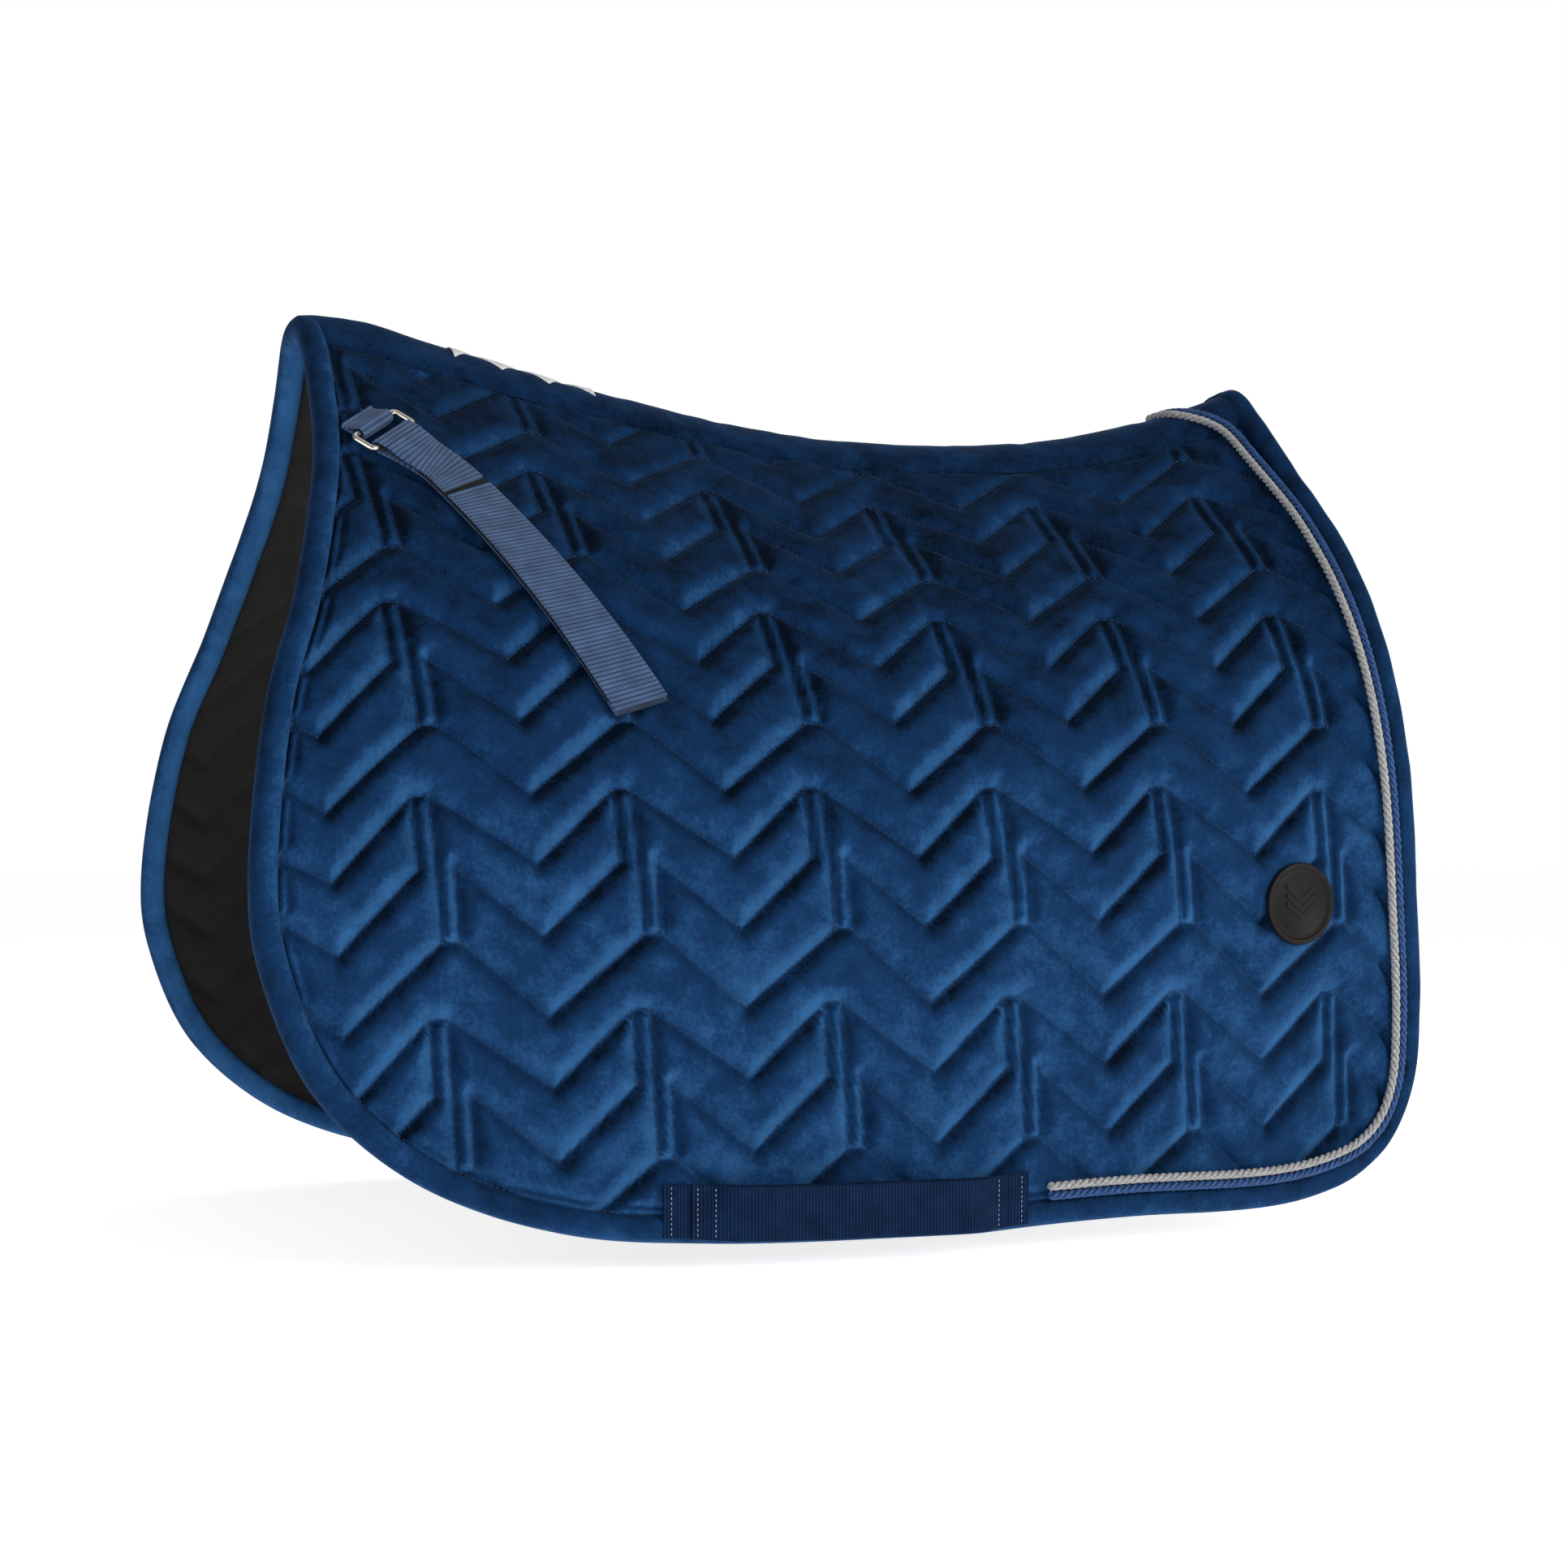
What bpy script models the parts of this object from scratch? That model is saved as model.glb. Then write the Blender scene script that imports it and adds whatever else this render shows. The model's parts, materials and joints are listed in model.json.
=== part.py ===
"""Saddle pad, draped as it hangs over a horse's back.

Metres, +Z up. +X runs to the tail, the near (left) side is at -Y and the off side at +Y. The origin is
where the back carries the pad: under the spine, at the lowest point of its top line.

Every sheet is laid out on the flat pattern first, as (x, s): x along the horse, and s down the pad from
the spine, positive on the near side and negative on the off side. drape() then bends the pattern over
the back. A height h is measured from the face of the velvet, outwards.
"""

import math

import bmesh
import bpy
import numpy as np
from mathutils import Vector

GAP = 0.0003

# Top line of the spine: its height above the dip, at REACH in front of and behind the dip.
REACH = 0.276
FRONT_RISE, FRONT_POWER = 0.051, 1.4
REAR_RISE, REAR_POWER = 0.043, 2.7

# Slope of the sides, in degrees from upright: at the top of the flank, at the hem and over the spine.
PROFILE_MID = -0.063
TOP_SLOPE, TOP_SLOPE_RUN, TOP_SLOPE_BOW = 52.6, 3.2, -4.8
HEM_SLOPE, HEM_SLOPE_RUN = -1.2, -2.7
TURN_START, TURN_START_RUN = 0.136, -0.013
TURN_END, TURN_END_RUN = 0.509, -0.038
SPINE_ROUNDING = 0.0224
# Over the withers the top line levels off by this much, and the arch there grows rounder by as much again.
WITHERS_FROM, WITHERS_DIP, WITHERS_SPREAD = -0.295, 2.9, 0.9

# Layers, from the face inwards.
VELVET = 0.0015
WADDING = 0.0097
LINING = 0.0013
STACK = VELVET + WADDING + LINING + 2 * GAP
SPINE_TAPE = 0.0011
TAPE_GAP = 0.0014
PAD = STACK + TAPE_GAP + SPINE_TAPE

# Outline of one side on the flat pattern, from the withers round the flap to the back of the spine.
OUTLINE = [
    (-0.363, 0.000), (-0.361, 0.080), (-0.366, 0.160), (-0.387, 0.267), (-0.410, 0.346), (-0.422, 0.440),
    (-0.415, 0.500), (-0.385, 0.567), (-0.328, 0.615), (-0.253, 0.632), (-0.163, 0.627), (-0.023, 0.609),
    (0.102, 0.601), (0.227, 0.609), (0.282, 0.601), (0.310, 0.568), (0.314, 0.510), (0.305, 0.410),
    (0.297, 0.280), (0.290, 0.120), (0.289, 0.000),
]
FRONT_CORNER = 8
REAR_CORNER = 14
STEPS_PER_SPAN = 6
CORD_STEPS_PER_SPAN = 4

SPINE_HALF = 0.050
TAPE_END = 0.004
PANEL_INSET = 0.0048
COLUMNS = 15
COLUMN_CROWDING = 0.55
SPINE_ROWS = [0.00015, 0.014, 0.030, SPINE_HALF]
UPPER_ROWS = 7
LOWER_ROWS = [0, 0.22, 0.43, 0.62, 0.78, 0.9, 1]

# The lower flap lifts along a level line.
LIFT_Z = -0.235
LIFT_CLEAR = 0.001

BINDING_WIDTH = 0.015
BINDING_WALL = 0.0015
BINDING_ROUND = 0.004
BINDING_CLEAR = 0.0006

CORD_DIAMETER = 0.0052
CORD_CLEAR = 0.0009
SILVER_INSET = BINDING_WIDTH + 3 * GAP + 1.5 * CORD_DIAMETER
CORD_ON_SPINE = 0.230
CORD_JOINS_EDGE = 0.150
CORD_END_X = 0.031

KEEPER_FROM, KEEPER_TO = -0.198, 0.025
TUNNEL_FROM, TUNNEL_TO = -0.182, 0.010
KEEPER_INSET = 0.0185
KEEPER_WIDTH = 0.030
KEEPER_TAPE = 0.0014
TUNNEL_RISE = 0.008
KEEPER_STATIONS = 12
TUNNEL_SEWN = 0.14

BADGE_AT = (0.213, 0.425)
BADGE_RADIUS = 0.025
BADGE_THICK = 0.0032
BADGE_RIM = 0.0035
BADGE_SINK = 0.0009
BADGE_SIDES = 28

# Billet strap, along its own centre line: l = 0 at the middle of the ring.
STRAP_ROUTE = [(-0.3490, 0.1165), (-0.323, 0.140), (-0.281, 0.178), (-0.200, 0.332)]
STRAP_WIDTH = 0.034
WEBBING = 0.0016
STRAP_SEAT = 0.0006
ANCHOR_WIDTH = 0.030
ANCHOR_FROM = -0.0195
BAR_SPACING = 0.014
BAR_RADIUS = 0.002
RING_INSIDE = 0.038
RING_CORNER = 0.003
RING_HOLDS = 0.020
BAR_CLEAR = 0.0006
RING_HEIGHT = STRAP_SEAT + WEBBING + BAR_CLEAR + BAR_RADIUS
TAIL_FROM, TAIL_TO = 0.0125, 0.057
TOP_FROM, TOP_TO = 0.062, 0.2285
BASE_TO = 0.2305
HOOK_FROM, HOOK_TO = 0.030, 0.222
HOOK_THICK = 0.0008
HOOK_WIDTH = 0.030
SEWN_FLAT = 0.004
BAR_LIP = 0.0004
LEAVES_BAR = 0.014
TAIL_LANDS = [(0.020, 0.0010), (0.028, 0), (0.043, 0)]
FOLDED_END = [(0, 0.0012), (-0.0006, 0.0004), (-0.002, 0)]

MOTIF_FROM, MOTIF_TO = -0.262, -0.172
MOTIF_LOZENGES = 3
MOTIF_HALF = 0.011
MOTIF_WAIST = 0.0016
MOTIF_THICK = 0.0008
MOTIF_STEPS = 12

VELVET_BLUE = (0.014, 0.040, 0.205)
WEBBING_BLUE = (0.055, 0.105, 0.260)
NAVY = (0.012, 0.022, 0.080)
BLACK = (0.012, 0.012, 0.014)
WHITE = (0.80, 0.80, 0.78)
SILVER_GREY = (0.55, 0.57, 0.60)
RUBBER = (0.022, 0.016, 0.014)
NICKEL = (0.62, 0.60, 0.57)


def withers_dip(x):
    """How far the top line dips below its rise at each x over the withers."""
    return WITHERS_DIP * np.maximum(WITHERS_FROM - x, 0) ** 2


def crest_height(x):
    """Height of the spine's top line at each x."""
    rise = np.where(x < 0, FRONT_RISE, REAR_RISE)
    power = np.where(x < 0, FRONT_POWER, REAR_POWER)
    return PAD + rise * (np.abs(x) / REACH) ** power - withers_dip(x)


def slope(x, s):
    """Slope of the side, in radians from upright, at the distance s below the spine."""
    run = (x - PROFILE_MID) / REACH
    top = TOP_SLOPE + TOP_SLOPE_RUN * run + TOP_SLOPE_BOW * run**2
    hem = HEM_SLOPE + HEM_SLOPE_RUN * run
    start = TURN_START + TURN_START_RUN * run
    end = TURN_END + TURN_END_RUN * run
    turned = np.clip((s - start) / (end - start), 0, 1)
    side = hem + (top - hem) * (1 + np.cos(np.pi * turned)) / 2
    rounding = SPINE_ROUNDING + WITHERS_SPREAD * withers_dip(x)
    return np.radians(side + (90 - side) * np.exp(-((s / rounding) ** 2)))


def drape(x, s, h):
    """Points of the pad in space, for places (x, s) on the flat pattern at a height h over the velvet."""
    x, s, h = np.broadcast_arrays(*(np.asarray(value, float) for value in (x, s, h)))
    part = np.linspace(0, 1, 121)
    down = np.abs(s)[..., None] * part
    angle = slope(x[..., None], down)
    out = np.trapz(np.sin(angle), down, axis=-1)
    drop = np.trapz(np.cos(angle), down, axis=-1)
    end = angle[..., -1]
    near = np.where(s < 0, 1.0, -1.0)
    return np.stack([x, near * (out + h * np.cos(end)), crest_height(x) - drop + h * np.sin(end)], -1)


def level_line(x, z):
    """The distance s at which the velvet's face is at height z, for each x."""
    low, high = np.zeros_like(x), np.full_like(x, 0.7)
    for _ in range(40):
        middle = (low + high) / 2
        above = drape(x, middle, 0)[..., 2] > z
        low, high = np.where(above, middle, low), np.where(above, high, middle)
    return low


def smooth_curve(points, steps):
    """A Catmull-Rom curve through the points, with that many steps to each span."""
    p = np.array(points, float)
    p = np.vstack([2 * p[0] - p[1], p, 2 * p[-1] - p[-2]])
    t = np.linspace(0, 1, steps, endpoint=False)[:, None]
    spans = []
    for a, b, c, d in zip(p, p[1:], p[2:], p[3:]):
        bend, twist = a - 2.5 * b + 2 * c - d / 2, 1.5 * (b - c) + (d - a) / 2
        spans.append(b + t * (c - a) / 2 + t**2 * bend + t**3 * twist)
    return np.vstack(spans + [p[-2:-1]])


def inset_of(curve, distance):
    """The curve moved inwards over the pattern by that distance."""
    along = np.gradient(curve, axis=0)
    along /= np.linalg.norm(along, axis=1)[:, None]
    return curve + distance * np.stack([along[:, 1], -along[:, 0]], 1)


def resample(curve, parts):
    """Points on the curve at the given shares of its length."""
    length = np.concatenate([[0], np.cumsum(np.linalg.norm(np.diff(curve, axis=0), axis=1))])
    at = np.asarray(parts) * length[-1]
    return np.stack([np.interp(at, length, curve[:, k]) for k in range(2)], 1)


def cut_at(curve, value, key):
    """Splits the curve at the first place where key(points) crosses value. Both halves hold that place."""
    score = key(curve) - value
    i = int(np.argmax(score[:-1] * score[1:] <= 0))
    share = score[i] / (score[i] - score[i + 1])
    place = curve[i] + share * (curve[i + 1] - curve[i])
    return np.vstack([curve[: i + 1], place]), np.vstack([place, curve[i + 1 :]])


def height_on(curve):
    """Height of the velvet's face at each place of the curve."""
    return drape(curve[:, 0], curve[:, 1], 0)[:, 2]


def distance_on(curve):
    """Distance below the spine at each place of the curve."""
    return curve[:, 1]


def patch(top, bottom, front, rear, rows):
    """A grid of places between four edges that meet at their ends, as an array of (row, column, 2)."""
    even = np.linspace(0, 1, COLUMNS + 1)
    crowded = (1 - np.cos(np.pi * even)) / 2
    a = (even + COLUMN_CROWDING * (crowded - even))[None, :, None]
    b = np.asarray(rows)[:, None, None]
    top, bottom = resample(top, a.ravel())[None], resample(bottom, a.ravel())[None]
    front, rear = resample(front, b.ravel())[:, None], resample(rear, b.ravel())[:, None]
    between_ends = [(1 - a) * edge[:, :1] + a * edge[:, -1:] for edge in (top, bottom)]
    corners = (1 - b) * between_ends[0] + b * between_ends[1]
    return (1 - b) * top + b * bottom + (1 - a) * front + a * rear - corners


def level_edge(start, end, z):
    """The level line at height z between two places, with the two places as its ends."""
    x = np.linspace(start[0], end[0], 41)
    line = np.stack([x, level_line(x, z)], 1)
    line[0], line[-1] = start, end
    return line


def line_between(start, end):
    """A straight edge between two places."""
    return np.array([start, end], float)


OUTER = smooth_curve(OUTLINE, STEPS_PER_SPAN)
INNER = inset_of(OUTER, PANEL_INSET)


def panel_grids():
    """The pattern's grids for one side: beside the spine, the upper panel and the lower flap."""
    front, bottom, rear = (
        INNER[: FRONT_CORNER * STEPS_PER_SPAN + 1],
        INNER[FRONT_CORNER * STEPS_PER_SPAN : REAR_CORNER * STEPS_PER_SPAN + 1],
        INNER[REAR_CORNER * STEPS_PER_SPAN :][::-1],
    )
    front[0, 1] = rear[0, 1] = SPINE_ROWS[0]
    front_spine, front_side = cut_at(front, SPINE_HALF, distance_on)
    rear_spine, rear_side = cut_at(rear, SPINE_HALF, distance_on)
    rows = (np.array(SPINE_ROWS) - SPINE_ROWS[0]) / (SPINE_HALF - SPINE_ROWS[0])
    fold = line_between(front_side[0], rear_side[0])
    spine = patch(line_between(front[0], rear[0]), fold, front_spine, rear_spine, rows)
    front_upper, front_lower = cut_at(front_side, LIFT_Z, height_on)
    rear_upper, rear_lower = cut_at(rear_side, LIFT_Z, height_on)
    hinge = level_edge(front_upper[-1], rear_upper[-1], LIFT_Z)
    upper = patch(fold, hinge, front_upper, rear_upper, np.linspace(0, 1, UPPER_ROWS + 1))
    lower = patch(hinge, bottom, front_lower, rear_lower, LOWER_ROWS)
    upper[-1, :, 1] -= GAP / 2
    lower[0, :, 1] += GAP / 2
    return spine, upper, lower


def material(name, colour, roughness, metallic=0.0):
    """A Principled material, made once for each name."""
    made = bpy.data.materials.get(name)
    if made:
        return made
    made = bpy.data.materials.new(name)
    made.use_nodes = True
    shader = made.node_tree.nodes["Principled BSDF"]
    shader.inputs["Base Color"].default_value = (*colour, 1)
    shader.inputs["Roughness"].default_value = roughness
    shader.inputs["Metallic"].default_value = metallic
    return made


def velvet():
    return material("velvet", VELVET_BLUE, 0.85)


def wadding():
    return material("polyester wadding", WHITE, 0.95)


def lining():
    return material("quilted lining", BLACK, 0.8)


def strap_webbing():
    return material("strap webbing", WEBBING_BLUE, 0.8)


def keeper_webbing():
    return material("keeper webbing", NAVY, 0.75)


def hook_tape():
    return material("hook tape", BLACK, 0.9)


def silver_cord():
    return material("silver cord", SILVER_GREY, 0.6)


def blue_cord():
    return material("blue cord", VELVET_BLUE, 0.7)


def badge_rubber():
    return material("badge rubber", RUBBER, 0.55)


def nickel():
    return material("nickel plate", NICKEL, 0.3, 1.0)


def embroidery():
    return material("embroidery thread", WHITE, 0.5)


def place(name, mesh, pivot, finish):
    """Links a mesh or a curve as an object whose origin is its joint's pivot."""
    obj = bpy.data.objects.new(name, mesh)
    obj.location = pivot
    obj.data.materials.append(finish)
    bpy.context.scene.collection.objects.link(obj)
    return obj


def slab(name, outer, inner, finish, pivot=(0, 0, 0)):
    """A closed sheet between two grids of points, shaped (row, column, 3)."""
    rows, columns = outer.shape[:2]
    bm = bmesh.new()
    faces = []
    for grid in (outer, inner):
        faces.append([[bm.verts.new(Vector(p) - Vector(pivot)) for p in row] for row in grid])
    for layer in faces:
        for i in range(rows - 1):
            for j in range(columns - 1):
                bm.faces.new((layer[i][j], layer[i][j + 1], layer[i + 1][j + 1], layer[i + 1][j]))
    rim = [(0, j) for j in range(columns)] + [(i, columns - 1) for i in range(1, rows)]
    rim += [(rows - 1, j) for j in range(columns - 2, -1, -1)] + [(i, 0) for i in range(rows - 2, 0, -1)]
    for (i, j), (k, m) in zip(rim, rim[1:] + rim[:1]):
        bm.faces.new((faces[0][i][j], faces[0][k][m], faces[1][k][m], faces[1][i][j]))
    return finish_mesh(name, bm, finish, pivot)


def finish_mesh(name, bm, finish, pivot):
    """Turns the faces outwards, shades them smooth and links the object."""
    bmesh.ops.triangulate(bm, faces=bm.faces[:])
    bmesh.ops.recalc_face_normals(bm, faces=bm.faces[:])
    mesh = bpy.data.meshes.new(name)
    bm.to_mesh(mesh)
    bm.free()
    mesh.shade_smooth()
    mesh.set_sharp_from_angle(angle=math.radians(35))
    return place(name, mesh, pivot, finish)


def sheet(name, grid, low, high, finish, side, pivot=(0, 0, 0)):
    """A layer of the pad over a grid of the pattern, between two heights. side is 1 near and -1 off."""
    x, s = grid[..., 0], side * grid[..., 1]
    return slab(name, drape(x, s, high), drape(x, s, low), finish, pivot)


def ring_sweep(name, sections, finish, pivot=(0, 0, 0)):
    """A closed bar through sections of points that run the same way round, shaped (section, point, 3)."""
    bm = bmesh.new()
    loops = [[bm.verts.new(Vector(p) - Vector(pivot)) for p in section] for section in sections]
    for a, b in zip(loops, loops[1:]):
        for i, vert in enumerate(a):
            j = (i + 1) % len(a)
            bm.faces.new((vert, a[j], b[j], b[i]))
    for end in (loops[0], loops[-1]):
        half = len(end) // 2
        for i in range(half - 1):
            bm.faces.new((end[i], end[i + 1], end[-2 - i], end[-1 - i]))
    return finish_mesh(name, bm, finish, pivot)


def square_ends(places, shift):
    """The places with their ends moved onto the spine or onto the lift line, shifted down the pad."""
    places = places.copy()
    for end in (0, -1):
        level = level_line(places[[end], 0], LIFT_Z)[0]
        places[end, 1] = SPINE_ROWS[0] if places[end, 1] < BINDING_WIDTH else level + shift
    return places


def binding(name, curve, side, shift, pivot=(0, 0, 0)):
    """The edge binding: a strip folded over the edge of all three layers, as a U in section.

    curve is the panels' own edge, so that the strip has its corners where theirs are. Its ends are at the
    spine or at the lift line, moved down the pad by shift.
    """
    wall, lap, bend = BINDING_WALL, BINDING_WIDTH, BINDING_ROUND
    top, under = BINDING_CLEAR + wall, -STACK - BINDING_CLEAR - wall
    outside = [(lap, top), (bend, top), (0, top - bend), (0, under + bend), (bend, under), (lap, under)]
    inside = [(lap, top - wall), (bend, top - wall), (wall, top - bend), (wall, under + bend)]
    inside += [(bend, under + wall), (lap, under + wall)]
    section = outside + inside[::-1]
    points = []
    for inset, height in section:
        places = square_ends(inset_of(curve, inset - PANEL_INSET), shift)
        points.append(drape(places[:, 0], side * places[:, 1], height))
    return ring_sweep(name, np.stack(points, 1), velvet(), pivot)


def tube(name, path, radius, finish, pivot=(0, 0, 0), cyclic=False):
    """A round cord or wire along the points."""
    curve = bpy.data.curves.new(name, "CURVE")
    curve.dimensions = "3D"
    curve.bevel_depth = radius
    curve.bevel_resolution = 1
    curve.use_fill_caps = True
    spline = curve.splines.new("POLY")
    spline.points.add(len(path) - 1)
    for point, at in zip(spline.points, path):
        point.co = (*(Vector(at) - Vector(pivot)), 1)
    spline.use_cyclic_u = cyclic
    return place(name, curve, pivot, finish)


def silver_route():
    """Places of the silver cord: over the spine, back to the edge, down it and forward to the keeper."""
    edge = inset_of(smooth_curve(OUTLINE, CORD_STEPS_PER_SPAN), SILVER_INSET)[::-1]
    edge = edge[np.argmax(edge[:, 1] > CORD_JOINS_EDGE) :]
    edge = edge[: np.argmax(edge[:, 0] < CORD_END_X)]
    over = [(CORD_ON_SPINE, 0.006), (CORD_ON_SPINE + 0.008, 0.022), (CORD_ON_SPINE + 0.026, 0.052)]
    over += [(edge[0, 0] - 0.006, 0.095), tuple(edge[0]), tuple(edge[1])]
    return np.vstack([[(CORD_ON_SPINE, SPINE_ROWS[0])], smooth_curve(over, 4)[:-5], edge])


def cords(side, side_name, pivot):
    """The silver cord and the blue cord outside it, each in two stretches that meet at the lift line."""
    silver = silver_route()
    blue = inset_of(silver, CORD_DIAMETER + GAP)
    blue[0, 1] = SPINE_ROWS[0]
    for colour, route, finish in (("silver", silver, silver_cord()), ("blue", blue, blue_cord())):
        upper, lower = cut_at(route, LIFT_Z, height_on)
        upper[-1, 1] -= GAP
        lower[0, 1] += GAP
        for stretch, at, origin in (("upper", upper, (0, 0, 0)), ("lower", lower, pivot)):
            path = drape(at[:, 0], side * at[:, 1], CORD_CLEAR + CORD_DIAMETER / 2)
            tube(f"{side_name}_{colour}_cord_{stretch}", path, CORD_DIAMETER / 2, finish, origin)


def keeper_rows(start, end):
    """Three rows of places along the hem, for a strip from start to end along the horse."""
    rows = []
    fine = 2 * STEPS_PER_SPAN
    for across in (-KEEPER_WIDTH / 2, 0, KEEPER_WIDTH / 2):
        edge = inset_of(smooth_curve(OUTLINE, fine), KEEPER_INSET + across)
        hem = edge[FRONT_CORNER * fine : REAR_CORNER * fine]
        x = np.linspace(start, end, KEEPER_STATIONS)
        rows.append(np.stack([x, np.interp(x, hem[:, 0], hem[:, 1])], 1))
    return np.stack(rows)


def girth_keeper(side, side_name, pivot):
    """The base tape sewn along the hem, and the slack tape over it that the girth slips under."""
    base = BINDING_CLEAR + BINDING_WALL + GAP
    top = base + KEEPER_TAPE
    rows = keeper_rows(KEEPER_FROM, KEEPER_TO)
    sheet(f"{side_name}_keeper_base", rows, base, top, keeper_webbing(), side, pivot)
    rows = keeper_rows(TUNNEL_FROM, TUNNEL_TO)
    part = np.linspace(0, 1, KEEPER_STATIONS)
    ramp = np.clip(np.minimum(part, 1 - part) / TUNNEL_SEWN, 0, 1)
    rise = TUNNEL_RISE * ramp * ramp * (3 - 2 * ramp)
    low = top + GAP + rise[None, :]
    sheet(f"{side_name}_keeper_tunnel", rows, low, low + KEEPER_TAPE, keeper_webbing(), side, pivot)


def surface_frame(x, s):
    """The place and the unit directions along x, down the pad and outwards, on the velvet's face."""
    step = 0.001
    here = drape(x, s, 0)
    down = drape(x, s + math.copysign(step, s), 0) - here
    along = drape(x + step, s, 0) - here
    down /= np.linalg.norm(down)
    along -= down * (along @ down)
    along /= np.linalg.norm(along)
    out = np.cross(along, down)
    return here, along, down, out * np.sign(out @ (drape(x, s, step) - here))


def badge(side, side_name, pivot):
    """A round moulded badge with a raised rim round a flat face."""
    here, along, down, out = surface_frame(BADGE_AT[0], side * BADGE_AT[1])
    rim, face = BADGE_RADIUS - BADGE_RIM, BADGE_THICK - BADGE_SINK
    profile = [(BADGE_RADIUS, 0), (BADGE_RADIUS, BADGE_THICK - 0.001), (BADGE_RADIUS - 0.001, BADGE_THICK)]
    profile += [(rim, BADGE_THICK), (rim - 0.0006, face)]
    turns = np.linspace(0, 2 * math.pi, BADGE_SIDES, endpoint=False)
    bm = bmesh.new()
    loops = []
    for radius, height in profile:
        centre = here + (GAP + height) * out
        spots = [centre + radius * (math.cos(t) * along + math.sin(t) * down) for t in turns]
        loops.append([bm.verts.new(Vector(p) - Vector(pivot)) for p in spots])
    for a, b in zip(loops, loops[1:]):
        for i in range(BADGE_SIDES):
            j = (i + 1) % BADGE_SIDES
            bm.faces.new((a[i], a[j], b[j], b[i]))
    bm.faces.new(loops[0])
    bm.faces.new(loops[-1])
    return finish_mesh(f"{side_name}_badge", bm, badge_rubber(), pivot)


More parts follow.
